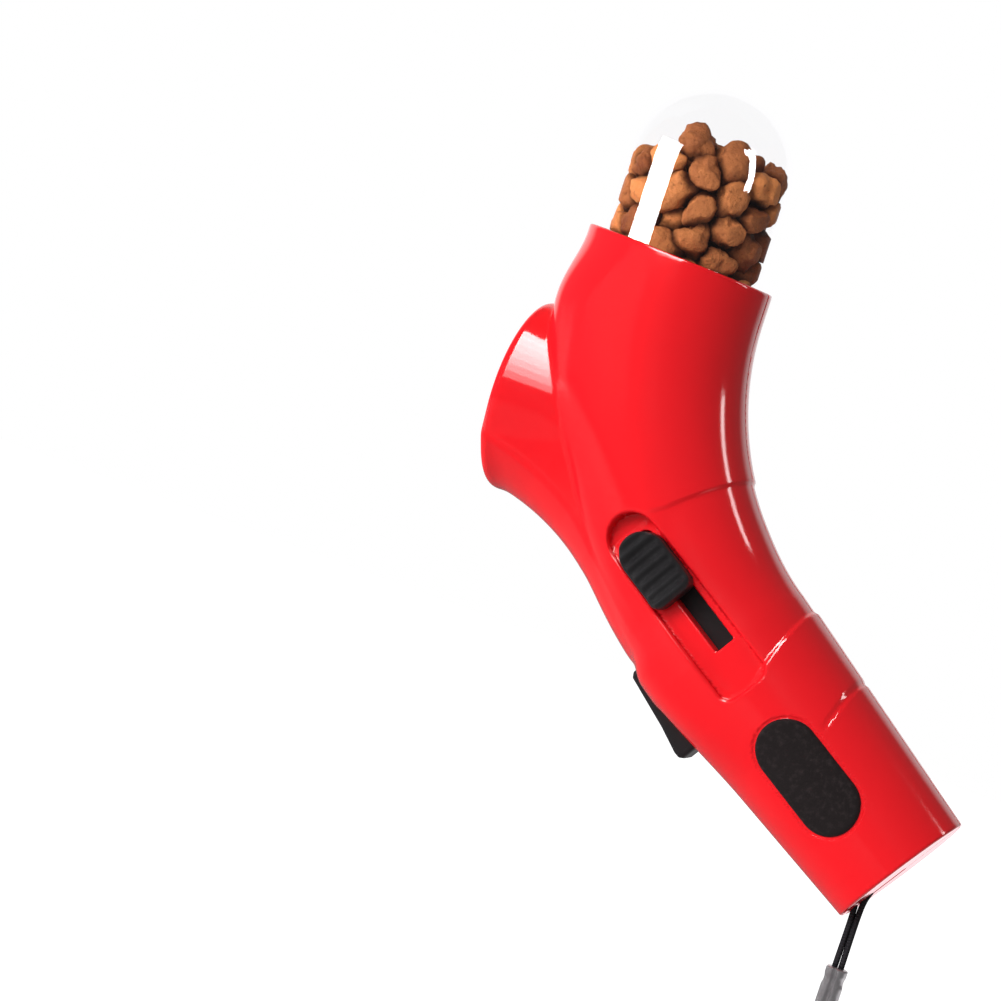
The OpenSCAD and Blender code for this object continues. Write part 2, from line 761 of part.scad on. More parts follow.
// Crimped sleeve, flattened across the seam
module strap_ferrule() {
    color("silver") grip_frame() translate([strap_x, 0, ferrule_top - ferrule_l]) difference() {
        union() {
            for (side = [-1, 1]) translate([side * (ferrule_w - ferrule_d) / 2, 0, 0])
                cylinder(r = ferrule_d / 2, h = ferrule_l);
            translate([-(ferrule_w - ferrule_d) / 2, -ferrule_d / 2, 0])
                cube([ferrule_w - ferrule_d, ferrule_d, ferrule_l]);
        }
        for (side = [-1, 1]) translate([0, side * ferrule_d / 2, ferrule_l / 2])
            cube([0.8, 0.8, ferrule_l + over], center = true);
    }
}

// Flat cord that goes round the wrist, both ends on the ferrule
module wrist_loop() {
    points = [for (p = smooth_route(loop_route, 3)) [0, p[0], p[1]]];
    color("black") grip_frame() translate([strap_x, 0, ferrule_top - ferrule_l])
        swept_tube(points, flat_section(loop_w, loop_t), [1, 0, 0]);
}

left_shell();
right_shell();
shell_screws();
canister();
canister_seal();
treat_load();
feed_funnel();
launch_tube();
plunger();
plunger_pad();
rod_collar();
launch_spring();
spring_seat();
slider_knob();
slider_carriage();
slider_screw();
trigger();
trigger_pin();
trigger_spring();
sear();
sear_pin();
left_grip_pad();
right_grip_pad();
strap_pin();
strap_cord();
strap_ferrule();
wrist_loop();
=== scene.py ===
import json
import math

import bmesh
import bpy
import numpy as np
from mathutils import Matrix, Vector, noise


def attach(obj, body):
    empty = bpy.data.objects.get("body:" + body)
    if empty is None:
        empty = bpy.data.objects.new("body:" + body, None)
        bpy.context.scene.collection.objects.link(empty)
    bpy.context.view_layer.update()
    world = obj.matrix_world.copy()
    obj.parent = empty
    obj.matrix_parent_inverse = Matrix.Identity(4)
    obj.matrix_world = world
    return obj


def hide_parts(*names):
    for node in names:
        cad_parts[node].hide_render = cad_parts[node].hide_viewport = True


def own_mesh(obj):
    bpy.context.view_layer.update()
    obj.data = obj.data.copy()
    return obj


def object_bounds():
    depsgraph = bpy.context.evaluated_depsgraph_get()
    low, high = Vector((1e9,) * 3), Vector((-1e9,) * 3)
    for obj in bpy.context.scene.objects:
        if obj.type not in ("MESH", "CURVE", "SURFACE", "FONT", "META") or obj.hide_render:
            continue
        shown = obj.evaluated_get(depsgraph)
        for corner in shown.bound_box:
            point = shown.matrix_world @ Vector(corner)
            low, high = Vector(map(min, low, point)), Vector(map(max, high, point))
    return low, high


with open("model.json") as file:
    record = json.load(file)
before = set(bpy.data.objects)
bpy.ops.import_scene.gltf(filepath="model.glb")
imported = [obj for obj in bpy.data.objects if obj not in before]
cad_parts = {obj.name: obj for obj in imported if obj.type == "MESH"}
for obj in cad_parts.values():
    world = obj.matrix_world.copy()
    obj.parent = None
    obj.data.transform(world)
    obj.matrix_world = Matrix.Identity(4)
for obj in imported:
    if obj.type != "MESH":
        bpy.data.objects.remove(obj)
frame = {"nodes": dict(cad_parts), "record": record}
CAD_BOX = [list(corner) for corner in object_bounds()]

bl_info = {
    "name": "Treat launcher",
    "version": (1, 0, 0),
    "blender": (4, 5, 0),
    "location": "3D View > Sidebar > Launcher",
    "description": "Dresses the packed treat launcher and sets its stage",
    "category": "Add Mesh",
}

# Millimetres in the nozzle's frame: the canister's axis is x = 0 and the nozzle's axis is z = 0
GRIP = np.array([64.843, 0.0, -56.932])
BEND = (94.8, 35.1)
TURN = 57.0
HANDLE = (43.876, -43.316)
DOWN = (0.838671, -0.544639)
FRONT = (-0.544639, -0.838671)
HANDLE_L = 67.0
HANDLE_R = 22.3
HANDLE_TAPER = 4.1
WALL = 2.2
BASE_WALL = 2.6
RIM_Z = 44.9
RIM_SLANT = 0.075
SOCKET_R = 21.0
SOCKET_Z = 18.5
DOME_Z = 66.6
# The nozzle's cone: its radius at x = MOUTH_X, what it loses to a millimetre, and its field's scale
MOUTH_X = -28.0
MOUTH_R = 24.6
FLARE = 0.24545
FLARE_SCALE = 0.971
# The chin's arc under the nozzle: its centre, radius and the angle where it goes straight
CHIN = (-37.7, -84.1)
CHIN_R = 79.0
CHIN_END = 39.0
LAUNCH_BORE_R = 13.5
LAUNCH_BORE = (-78.0, -11.0)
COIL_R = 7.0
SLIDE_U = -3.1
TRACK_U = -1.3
# Outlines along the handle: front, back, middle, half width and corner
TRACK = (-39.6, 12.2, TRACK_U, 6.4, 2.8)
SLOT = (-33.8, 0.7, SLIDE_U, 2.7, 0.4)
KNOB = (-33.8, -14.8, TRACK_U, 5.95, 2.8)
# Places (t, u) of the screw holes, the trigger's pin and the strap's pin
SCREWS = ((52, 10.5), (52, -10.5), (8, -15.8), (-22, -18.5))
SCREW_HOLE_R = 2.15
TRIGGER_PIN = (-8.5, 19.2)
STRAP_PIN = (HANDLE_L - 6.5, 3.3)


def to_row(points):
    """Points of the nozzle's frame in metres in the row frame."""
    return (np.asarray(points, float) - GRIP) * 0.001


def handle_point(t, u, y=0.0):
    """A point t down the handle's axis and u towards the trigger."""
    return np.array([HANDLE[0] + t * DOWN[0] + u * FRONT[0], y, HANDLE[1] + t * DOWN[1] + u * FRONT[1]])


# Sizes and colours


class LauncherLook(bpy.types.PropertyGroup):
    """Colours of the launcher's finishes."""

    red: bpy.props.FloatVectorProperty(
        name="Body red", description="Colour of the moulded body", subtype="COLOR", size=4, min=0, max=1,
        default=(0.80, 0.008, 0.014, 1))
    black: bpy.props.FloatVectorProperty(
        name="Black", description="Colour of the slider and trigger", subtype="COLOR", size=4, min=0, max=1,
        default=(0.012, 0.011, 0.012, 1))
    rubber: bpy.props.FloatVectorProperty(
        name="Rubber", description="Colour of the grip pads", subtype="COLOR", size=4, min=0, max=1,
        default=(0.013, 0.0095, 0.0098, 1))
    crust: bpy.props.FloatVectorProperty(
        name="Treat crust", description="Lighter colour of the treats", subtype="COLOR", size=4, min=0, max=1,
        default=(0.74, 0.265, 0.085, 1))
    # The baked colour at 0.3 of its strength is also the painted shade where treats touch
    baked: bpy.props.FloatVectorProperty(
        name="Treat shade", description="Darker colour of the treats", subtype="COLOR", size=4, min=0, max=1,
        default=(0.21, 0.058, 0.024, 1))
    cord: bpy.props.FloatVectorProperty(
        name="Cord", description="Colour of the strap", subtype="COLOR", size=4, min=0, max=1,
        default=(0.012, 0.011, 0.013, 1))


class LauncherSizes(bpy.types.PropertyGroup):
    """Sizes of the dressed pieces."""

    body_step: bpy.props.FloatProperty(
        name="Body mesh", description="Size of the body's mesh faces", subtype="DISTANCE",
        default=0.0006, min=0.0004, max=0.002)
    fine_step: bpy.props.FloatProperty(
        name="Fine mesh", description="Size of the small pieces' mesh faces", subtype="DISTANCE",
        default=0.00035, min=0.0002, max=0.001)
    recess: bpy.props.FloatProperty(
        name="Panel depth", description="Depth of the panel round the slider", subtype="DISTANCE",
        default=0.0006, min=0.0002, max=0.0012)
    treats: bpy.props.IntProperty(
        name="Treats", description="Number of treats in the canister", default=128, min=40, max=150)
    treat_size: bpy.props.FloatProperty(
        name="Treat size", description="Mean width of a treat", subtype="DISTANCE",
        default=0.0090, min=0.008, max=0.012)
    spring_wire: bpy.props.FloatProperty(
        name="Spring wire", description="Thickness of the launch spring's wire", subtype="DISTANCE",
        default=0.0014, min=0.0012, max=0.0015)
    thin_cord: bpy.props.FloatProperty(
        name="Thin cord", description="Thickness of the doubled cord", subtype="DISTANCE",
        default=0.0015, min=0.001, max=0.002)
    loop_width: bpy.props.FloatProperty(
        name="Loop width", description="Width of the wrist loop", subtype="DISTANCE",
        default=0.0046, min=0.004, max=0.005)
    loop_thick: bpy.props.FloatProperty(
        name="Loop thickness", description="Thickness of the wrist loop", subtype="DISTANCE",
        default=0.0012, min=0.001, max=0.0014)


def look():
    return bpy.context.scene.launcher_look


def sizes():
    return bpy.context.scene.launcher_sizes


# Shader maths


class Wire:
    """A node's output; arithmetic on it adds Math nodes to its finish."""

    def __init__(self, finish, socket):
        self.finish = finish
        self.socket = socket

    def maths(self, operation, a, b=0.0):
        return self.finish.node("ShaderNodeMath", {"operation": operation}, {0: a, 1: b})

    def __add__(self, other):
        return self.maths("ADD", self, other)

    def __sub__(self, other):
        return self.maths("SUBTRACT", self, other)

    def __rsub__(self, other):
        return self.maths("SUBTRACT", other, self)

    def __mul__(self, other):
        return self.maths("MULTIPLY", self, other)

    __radd__ = __add__
    __rmul__ = __mul__


class Finish:
    """A material or a world, with its shader and one way to add nodes."""

    def __init__(self, name, kind="materials", shader="Principled BSDF", output="Material Output",
                 **constants):
        self.material = getattr(bpy.data, kind).new(name)
        self.material.use_nodes = True
        self.tree = self.material.node_tree
        self.shader = self.tree.nodes[shader]
        self.output = self.tree.nodes[output]
        self.set(**constants)

    def feed(self, socket, value):
        if isinstance(value, Wire):
            self.tree.links.new(value.socket, socket)
        else:
            socket.default_value = value

    def set(self, **values):
        """Sets the shader's sockets, named with underscores for spaces."""
        for name, value in values.items():
            self.feed(self.shader.inputs[name.replace("_", " ")], value)

    def node(self, kind, settings=None, inputs=None, output=0):
        made = self.tree.nodes.new(kind)
        for name, value in (settings or {}).items():
            setattr(made, name, value)
        for key, value in (inputs or {}).items():
            self.feed(made.inputs[key], value)
        return Wire(self, made.outputs[output])

    def ray(self, kind):
        """1 for rays of that kind."""
        return self.node("ShaderNodeLightPath", None, None, "Is %s Ray" % kind)

    def place(self):
        """Metres in the piece's own frame."""
        return self.node("ShaderNodeTexCoord", output="Object")

    def grain(self, scale, detail=2.0, roughness=0.5, at=None):
        """Noise with about scale lumps to a metre."""
        inputs = {"Vector": at or self.place(), "Scale": scale, "Detail": detail, "Roughness": roughness}
        return self.node("ShaderNodeTexNoise", None, inputs)

    def between(self, share, low, high):
        """Share run from 0 at low to 1 at high, held there."""
        inputs = {"Value": share, "From Min": low, "From Max": high}
        return self.node("ShaderNodeMapRange", {"clamp": True}, inputs)

    def mix(self, share, a, b):
        return self.node("ShaderNodeMix", {"data_type": "RGBA"}, {0: share, 6: a, 7: b}, 2)

    def bump(self, height, depth, strength=1.0):
        inputs = {"Height": height, "Distance": depth, "Strength": strength}
        self.set(Normal=self.node("ShaderNodeBump", None, inputs))


def tint(colour, by):
    """The colour made lighter or darker."""
    return tuple(min(1.0, c * by) for c in colour[:3]) + (1.0,)


def gloss_red():
    """Moulded gloss plastic: faint flow marks, orange peel and fine rubbing."""
    f = Finish("gloss_red_plastic", IOR=1.5)
    red = tuple(look().red)
    flow = f.grain(45.0, 3.0)
    f.set(Base_Color=f.mix(flow, tint(red, 0.95), tint(red, 1.05)))
    rubbed = f.between(f.grain(260.0, 5.0, 0.65), 0.55, 0.8)
    f.set(Roughness=0.08 + rubbed * 0.05 + f.grain(2600.0, 2.0) * 0.03)
    f.bump(f.grain(420.0, 2.0) + f.grain(2400.0, 2.0) * 0.1, 0.00003, 0.4)
    return f.material


def satin_black():
    """Black moulding with a fine spark texture."""
    f = Finish("satin_black_plastic", IOR=1.48)
    black = tuple(look().black)
    f.set(Base_Color=f.mix(f.grain(220.0, 3.0), tint(black, 0.8), tint(black, 1.5)))
    f.set(Roughness=0.36 + f.grain(900.0, 3.0) * 0.16)
    f.bump(f.grain(4200.0, 2.0), 0.00006, 0.6)
    return f.material


def matt_rubber():
    """Soft rubber: matt, finely pebbled, a little dusty."""
    f = Finish("matt_rubber", IOR=1.45, Specular_IOR_Level=0.35)
    rubber = tuple(look().rubber)
    dust = f.between(f.grain(700.0, 6.0, 0.7), 0.5, 0.75)
    f.set(Base_Color=f.mix(dust, rubber, tint(rubber, 2.6)))
    f.set(Roughness=0.62 + dust * 0.2)
    pebbles = f.node("ShaderNodeTexVoronoi", None, {"Vector": f.place(), "Scale": 1900.0})
    f.bump(pebbles, 0.00009, 0.55)
    return f.material


def clear_plastic():
    """Clear wall: lets light straight through and mirrors the same small share over its front faces."""
    f = Finish("clear_plastic")
    glint = f.node("ShaderNodeBsdfAnisotropic", None, {"Color": (0.93, 0.925, 0.965, 1), "Roughness": 0.03})
    through = f.node("ShaderNodeBsdfTransparent", None, {"Color": (0.999, 0.998, 1, 1)})
    inside = f.node("ShaderNodeNewGeometry", output="Backfacing")
    edge = f.node("ShaderNodeFresnel", None, {"IOR": 1.49})
    share = f.node("ShaderNodeMath", {"operation": "MINIMUM"}, {0: edge, 1: 0.032}) * (1.0 - inside)
    both = f.node("ShaderNodeMixShader", None, {0: share, 1: through, 2: glint})
    f.feed(f.output.inputs["Surface"], both)
    return f.material


def baked_treat():
    """Baked dough: a tone for each piece, painted shade where it meets the next, specks and a rough crust."""
    f = Finish("baked_treat", IOR=1.4, Specular_IOR_Level=0.3)
    shade = f.node("ShaderNodeAttribute", {"attribute_name": "shade"}, None, "Fac")
    patch = f.grain(190.0, 5.0, 0.6)
    share = f.between(shade * 0.8 + patch * 0.7, 0.3, 1.05)
    # Painted shade where treats touch: the open attribute is 0 at a contact and 1 clear of it, and towards 0
    # the dough goes to 0.3 of the baked colour
    clear_of_painted_shade = f.node("ShaderNodeAttribute", {"attribute_name": "open"}, None, "Fac")
    dough = f.mix(share, tuple(look().baked), tuple(look().crust))
    dough = f.mix(clear_of_painted_shade, tint(look().baked, 0.3), dough)
    specks = f.between(f.grain(1100.0, 3.0, 0.6), 0.6, 0.72)
    f.set(Base_Color=f.mix(specks * 0.55, dough, tint(look().baked, 0.55)))
    f.set(Roughness=0.5 + patch * 0.25)
    f.bump(f.grain(420.0, 6.0, 0.65) + f.grain(1500.0, 4.0, 0.6) * 0.35, 0.0012, 0.9)
    return f.material


def woven_cord():
    """Braided cord: crossing strands, with painted highlights on their tops and painted shade in the gaps."""
    f = Finish("woven_cord", IOR=1.45, Specular_IOR_Level=0.3)
    cord = tuple(look().cord)
    run = f.node("ShaderNodeAttribute", {"attribute_name": "weave"}, None, "Vector")
    parts = f.node("ShaderNodeSeparateXYZ", None, {0: run})
    along, across = parts, Wire(f, parts.socket.node.outputs[1])
    one = f.node("ShaderNodeMath", {"operation": "SINE"}, {0: (along + across) * (2 * math.pi)})
    two = f.node("ShaderNodeMath", {"operation": "SINE"}, {0: (along - across) * (2 * math.pi)})
    strand_relief_and_painted_light = one * two * 0.5 + 0.5
    fuzz = f.grain(2600.0, 3.0)
    # Painted light: the strand pattern lightens the strand tops to 2.4 of the cord colour and darkens the gaps
    # to 0.5; the same pattern also drives the bump
    f.set(Base_Color=f.mix(strand_relief_and_painted_light * 0.7 + fuzz * 0.3, tint(cord, 0.5), tint(cord, 2.4)))
    f.set(Roughness=0.55 + fuzz * 0.25)
    f.bump(strand_relief_and_painted_light + fuzz * 0.25, 0.00022, 0.9)
    return f.material


def crimped_metal():
    """Crimped sheet metal, drawn lengthwise, a little tarnished."""
    f = Finish("crimped_metal", Metallic=0.9)
    drawn = f.node("ShaderNodeMapping", None, {"Vector": f.place(), "Scale": (9.0, 9.0, 0.35)})
    lines = f.grain(900.0, 3.0, 0.6, drawn)
    tarnish = f.grain(420.0, 4.0, 0.6)
    f.set(Base_Color=f.mix(f.between(tarnish, 0.35, 0.75), (0.72, 0.69, 0.71, 1), (0.5, 0.47, 0.49, 1)))
    f.set(Roughness=0.26 + lines * 0.2)
    f.bump(lines, 0.00005, 0.5)
    return f.material


def plain_steel():
    """Turned and drawn steel for pins, screws and springs."""
    f = Finish("plain_steel", Metallic=1.0)
    worn = f.grain(600.0, 4.0, 0.6)
    f.set(Base_Color=f.mix(worn, (0.5, 0.5, 0.52, 1), (0.68, 0.68, 0.7, 1)))
    f.set(Roughness=0.22 + worn * 0.2)
    f.bump(f.grain(3000.0, 2.0), 0.00003, 0.4)
    return f.material


def pale_plastic():
    """Natural moulding, slightly waxy."""
    f = Finish("pale_plastic", IOR=1.5, Subsurface_Weight=0.15, Subsurface_Scale=0.002)
    cloud = f.grain(120.0, 4.0)
    f.set(Base_Color=f.mix(cloud, (0.7, 0.7, 0.68, 1), (0.82, 0.82, 0.8, 1)))
    f.set(Roughness=0.32 + cloud * 0.15)
    f.bump(f.grain(1500.0, 2.0), 0.00003, 0.5)
    return f.material


FINISHES = {
    "red_plastic": gloss_red, "black_plastic": satin_black, "rubber": matt_rubber,
    "clear_plastic": clear_plastic, "treat": baked_treat, "cord": woven_cord,
    "bright_metal": crimped_metal, "steel": plain_steel, "pale_plastic": pale_plastic,
}
made_finishes = {}


def finish_of(slot):
    """The slot's material, made once."""
    if slot not in made_finishes:
        made_finishes[slot] = FINISHES[slot]()
    return made_finishes[slot]


# Fields: signed distances in millimetres, negative inside


def ease(low, high, value):
    share = np.clip((value - low) / (high - low), 0, 1)
    return share * share * (3 - 2 * share)


def soft_min(a, b, k):
    """The union's field with a fillet of about k."""
    h = np.maximum(k - np.abs(a - b), 0) / k
    return np.minimum(a, b) - h * h * k * 0.25


def soft_max(a, b, k):
    return -soft_min(-a, -b, k)


def frame_field(a, b, a0, a1, b0, b1, r):
    """A rectangle with rounded corners."""
    qa = np.abs(a - (a0 + a1) / 2) - (a1 - a0) / 2 + r
    qb = np.abs(b - (b0 + b1) / 2) - (b1 - b0) / 2 + r
    return np.minimum(np.maximum(qa, qb), 0) + np.hypot(np.maximum(qa, 0), np.maximum(qb, 0)) - r


def outline_field(a, b, corners):
    """A closed outline of straight sides."""
    corners = np.asarray(corners, float)
    nearest = np.full(np.shape(a), np.inf)
    odd = np.zeros(np.shape(a), bool)
    for (a0, b0), (a1, b1) in zip(corners, np.roll(corners, -1, axis=0)):
        da, db = a1 - a0, b1 - b0
        f = np.clip(((a - a0) * da + (b - b0) * db) / (da * da + db * db), 0, 1)
        nearest = np.minimum(nearest, np.hypot(a - a0 - f * da, b - b0 - f * db))
        if db != 0:
            odd ^= ((b0 > b) != (b1 > b)) & (a < a0 + (b - b0) * da / db)
    return np.where(odd, -nearest, nearest)


def handle_places(x, z):
    """(t, u) of points in the handle's straight frame."""
    dx, dz = x - HANDLE[0], z - HANDLE[1]
    return dx * DOWN[0] + dz * DOWN[1], dx * FRONT[0] + dz * FRONT[1]


def run_field(t, u, front, back, mid, half, corner):
    """An outline along the handle seen from the side: round in front, square behind."""
    nose = np.hypot(t - front - half, u - mid) - half
    run = frame_field(t, u, front, back, mid - half, mid + half, corner)
    return np.where(t < front + half, nose, run)


def pad_field(t, u):
    """A grip pad's outline seen from the side."""
    return np.hypot(np.maximum(np.abs(t - 37.4) - 7.8, 0), u - 0.5) - 7.9


def handle_radius(t):
    return HANDLE_R - HANDLE_TAPER * t / HANDLE_L


def handle_skin(t, u, y):
    return np.hypot(u, y) - handle_radius(t)


def flare_field(x, y, z, inset=0.0):
    """The nozzle's cone, let in by a wall where asked."""
    return (np.hypot(y, z) - (MOUTH_R - FLARE * (x - MOUTH_X)) + inset) * FLARE_SCALE


def barrel_fields(x, y, z, turn, t, u):
    """(tube, barrel): the bent body's plain section, and that with its keel, rim and base."""
    inner = 70.5 + 0.7 * ease(40, TURN, turn)
    outer = 119.1 - 3.3 * ease(14, 46, turn)
    bent = np.hypot(BEND[0] - x, BEND[1] - z) - (inner + outer) / 2
    across = np.where(turn < 0, -x, np.where(turn > TURN, u, bent))
    straight_r = handle_radius(np.clip(t, 0, 80))
    depth_r = np.where(turn > TURN, straight_r, (outer - inner) / 2)
    width_r = np.where(turn > TURN, straight_r, 24.3 - 2.0 * ease(18, 50, turn))
    swell = 1.4 * ease(44, 24, z) * ease(-6, 10, z)
    full = 2 + ease(44, 26, z) * ease(30, 0, t)
    dip = 4 * ease(14, 28, turn) * ease(-6, -16, t)
    front = np.maximum(across, 0) / (depth_r + swell - dip)
    section = np.where(across > 0, (front ** full + np.abs(y / width_r) ** full) ** (1 / full),
                       np.hypot(across / depth_r, y / width_r))
    tube = (section - 1) * np.minimum(depth_r, width_r)
    half = 16.5 - 1.5 * ease(20, 50, turn)
    keel = (across - depth_r + (8 - 1.5 * ease(20, 50, turn)) * (y / half) ** 2) * 0.8
    keel = soft_max(soft_max(soft_max(np.abs(y) - half, keel, 1.2), t, 3), -across, 2)
    barrel = soft_min(tube, soft_max(keel, z - 20, 4), 0.8 + 2.5 * ease(-24, -8, t))
    rim = z - RIM_Z + RIM_SLANT * (x + 9)
    return tube, soft_max(soft_max(barrel, rim, 0.9), t - HANDLE_L, 0.8)


def nose_field(x, y, z):
    """The nozzle's flared cup, with the chin that runs from it under the bend."""
    cx, cz = CHIN
    sweep = np.degrees(np.arctan2(x - cx, z - cz))
    sine, cosine = math.sin(math.radians(CHIN_END)), math.cos(math.radians(CHIN_END))
    ex, ez = cx + CHIN_R * sine, cz + CHIN_R * cosine
    along = (x - ex) * cosine - (z - ez) * sine
    off = (x - ex) * sine + (z - ez) * cosine
    straight = sweep > CHIN_END
    run = np.where(straight, CHIN_END + np.degrees(along / CHIN_R), sweep)
    flank = np.interp(run, (8, 14, 20, 30, 39, 56), (23, 21.5, 20, 18, 16.8, 15.5))
    belly = np.interp(run, (8, 20, 30, 39, 56), (12, 11, 10, 8, 5))
    under = np.where(straight, along / 8 - off, CHIN_R - np.hypot(x - cx, z - cz))
    chin = soft_max(np.abs(y) - flank, (under - 18 + belly * (y / flank) ** 2) * 0.75, 1.2)
    chin = soft_max(soft_max(chin, -under - 8, 3), along - 24, 3)
    nose = soft_min(soft_max(flare_field(x, y, z), x - 5, 1), chin, 1.5)
    return soft_max(nose, MOUTH_X - 1 - x, 2.6)


def body_fields(x, y, z):
    """The whole body's outside and hollow before it is split and cut, and each point's turn, t and u."""
    turn = np.degrees(np.arctan2(BEND[1] - z, BEND[0] - x))
    t, u = handle_places(x, z)
    tube, barrel = barrel_fields(x, y, z, turn, t, u)
    outside = soft_min(barrel, nose_field(x, y, z), 0.8 + 5 * ease(-30, -50, z))
    bore_mid, bore_half = sum(LAUNCH_BORE) / 2, (LAUNCH_BORE[1] - LAUNCH_BORE[0]) / 2
    hollow = np.maximum(np.maximum(tube + WALL, z - SOCKET_Z), t - HANDLE_L + BASE_WALL)
    hollow = np.minimum(hollow, np.maximum(flare_field(x, y, z, WALL), x - 3))
    hollow = np.minimum(hollow, np.maximum(np.hypot(x, y) - SOCKET_R, SOCKET_Z - z))
    bore = np.maximum(np.hypot(u, y) - LAUNCH_BORE_R, np.abs(t - bore_mid) - bore_half)
    return outside, np.minimum(hollow, bore), turn, t, u


def panel_depth(turn, t, u, reach):
    """How far the panel round the slider is let into the skin."""
    run = np.where(turn > TURN, t, (turn - TURN) * math.radians(1) * 93.5)
    side = np.where(turn > TURN, u, reach)
    low = run - 12.2 - 0.35 * np.minimum(side + 2, 0)
    panel = soft_max(soft_max(low, side - 4.6, 5), 0.18 * np.minimum(side + 6, 0) - 37.2 - run, 2)
    step = ease(0.8, -0.8, panel) * ease(0, 1, (run + 37.2) / 20 + (2 - side) / 12)
    band = run - 30.5 - 0.4 * (side + 9.5)
    return step + 0.5 * ease(1.3, 0.1, np.abs(band)) * ease(-8.5, -11.5, side)


def shell_field(side, recess, split=True):
    """One half of the body with its openings: side is -1 for the left, and split stops it at the seam."""

    def field(x, y, z):
        outside, hollow, turn, t, u = body_fields(x, y, z)
        reach = np.hypot(BEND[0] - x, BEND[1] - z) - 93.5
        outside = outside + recess * panel_depth(turn, t, u, reach)
        pad = pad_field(t, u)
        outside = outside + 0.35 * ease(0.75, 0.15, np.abs(pad - 0.05))
        shell = soft_max(outside, -hollow, 0.7)
        if side < 0:
            track = run_field(t, u, *TRACK)
            slot = run_field(t, u, *SLOT)
            boss = np.maximum(np.maximum(track - 1.4, y + 15.4), outside + 0.4)
            pocket = np.maximum(track, soft_min(y + 20.2 - 1.6 * ease(-30, -36, t), -outside - 1.0, 1.6))
            shell = soft_max(np.minimum(shell, boss), -pocket, 0.9)
            shell = soft_max(shell, -np.maximum(slot, y + 10), 0.4)
        else:
            for hole_t, hole_u in SCREWS:
                hole = np.hypot(t - hole_t, u - hole_u) - SCREW_HOLE_R
                shell = soft_max(shell, -np.maximum(hole, 8 - y), 0.4)
        finger = np.maximum(frame_field(t, y, -12.6, 15, -4.9, 4.9, 0.8), 13.4 - u)
        shell = soft_max(shell, -finger, 0.5)
        gap = np.maximum(frame_field(t, y, 63.4, 90, -1.6, 1.6, 0.6), STRAP_PIN[1] - u)
        room = np.maximum(frame_field(t, y, 56.4, 90, -1.6, 1.6, 0.6), np.abs(u - STRAP_PIN[1]) - 4.1)
        shell = soft_max(shell, -np.minimum(gap, room), 0.5)
        return soft_max(shell, 0.05 - side * y, 0.5) if split else shell

    return field


# Meshing a field


def net(field, low, high, step):
    """A closed mesh of quads over the field's zero level, with its points drawn on to it."""
    low, high = np.asarray(low, float), np.asarray(high, float)
    counts = np.ceil((high - low) / step).astype(int) + 1
    xs, ys, zs = (low[i] + step * np.arange(counts[i]) for i in range(3))
    value = np.empty(counts, np.float32)
    for start in range(0, counts[0], 24):
        grid = np.meshgrid(xs[start:start + 24], ys, zs, indexing="ij")
        value[start:start + 24] = field(*grid)
    inside = value < 0
    corners = [(i, j, k) for i in (0, 1) for j in (0, 1) for k in (0, 1)]
    nx, ny, nz = counts - 1
    total = sum(inside[i:i + nx, j:j + ny, k:k + nz].astype(np.int8) for i, j, k in corners)
    cells = np.argwhere((total > 0) & (total < 8))
    order = np.full((nx, ny, nz), -1, np.int64)
    order[tuple(cells.T)] = np.arange(len(cells))
    at = {c: value[cells[:, 0] + c[0], cells[:, 1] + c[1], cells[:, 2] + c[2]].astype(float) for c in corners}
    place, crossings = np.zeros((len(cells), 3)), np.zeros(len(cells))
    for a in corners:
        for axis in range(3):
            if a[axis]:
                continue
            b = tuple(1 if i == axis else a[i] for i in range(3))
            hit = (at[a] < 0) != (at[b] < 0)
            gap = np.where(hit, at[a] - at[b], 1)
            spot = np.tile(np.array(a, float), (len(cells), 1))
            spot[:, axis] = at[a] / gap
            place[hit] += spot[hit]
            crossings += hit
    points = low + step * (cells + place / crossings[:, None])
    quads = []
    for axis in range(3):
        others = [i for i in range(3) if i != axis]
        first = np.take(inside, range(counts[axis] - 1), axis)
        second = np.take(inside, range(1, counts[axis]), axis)
        edges = np.argwhere(first != second)
        for i in others:
            edges = edges[(edges[:, i] > 0) & (edges[:, i] < counts[i] - 1)]
        ring = []
        for back in ((1, 1), (0, 1), (0, 0), (1, 0)):
            cell = edges.copy()
            cell[:, others[0]] -= back[0]
            cell[:, others[1]] -= back[1]
            ring.append(order[tuple(cell.T)])
        ring = np.stack(ring, 1)
        turn = first[tuple(edges.T)]
        if axis == 1:
            turn = ~turn
        ring[~turn] = ring[~turn][:, ::-1]
        quads.append(ring)
    points, normals = draw_on(field, points, step)
    return points, np.vstack(quads), normals


def slopes(field, points, reach):
    """The field's slope at points."""
    steps = reach * np.eye(3)
    return np.stack([field(*(points + s).T) - field(*(points - s).T) for s in steps], 1) / (2 * reach)


def draw_on(field, points, step):
    """Points moved to the field's zero level, with the outward directions there."""
    reach = step * 0.15
    for turn in range(4):
        value = field(*points.T)
        slope = slopes(field, points, reach)
        steep = np.maximum(np.sum(slope * slope, 1), 0.2)
        if turn < 3:
            move = -slope * (value / steep)[:, None]
            far = np.linalg.norm(move, axis=1, keepdims=True)
            points = points + move * np.minimum(1, step * 0.45 / np.maximum(far, 1e-9))
    return points, slope / np.maximum(np.linalg.norm(slope, axis=1, keepdims=True), 1e-9)


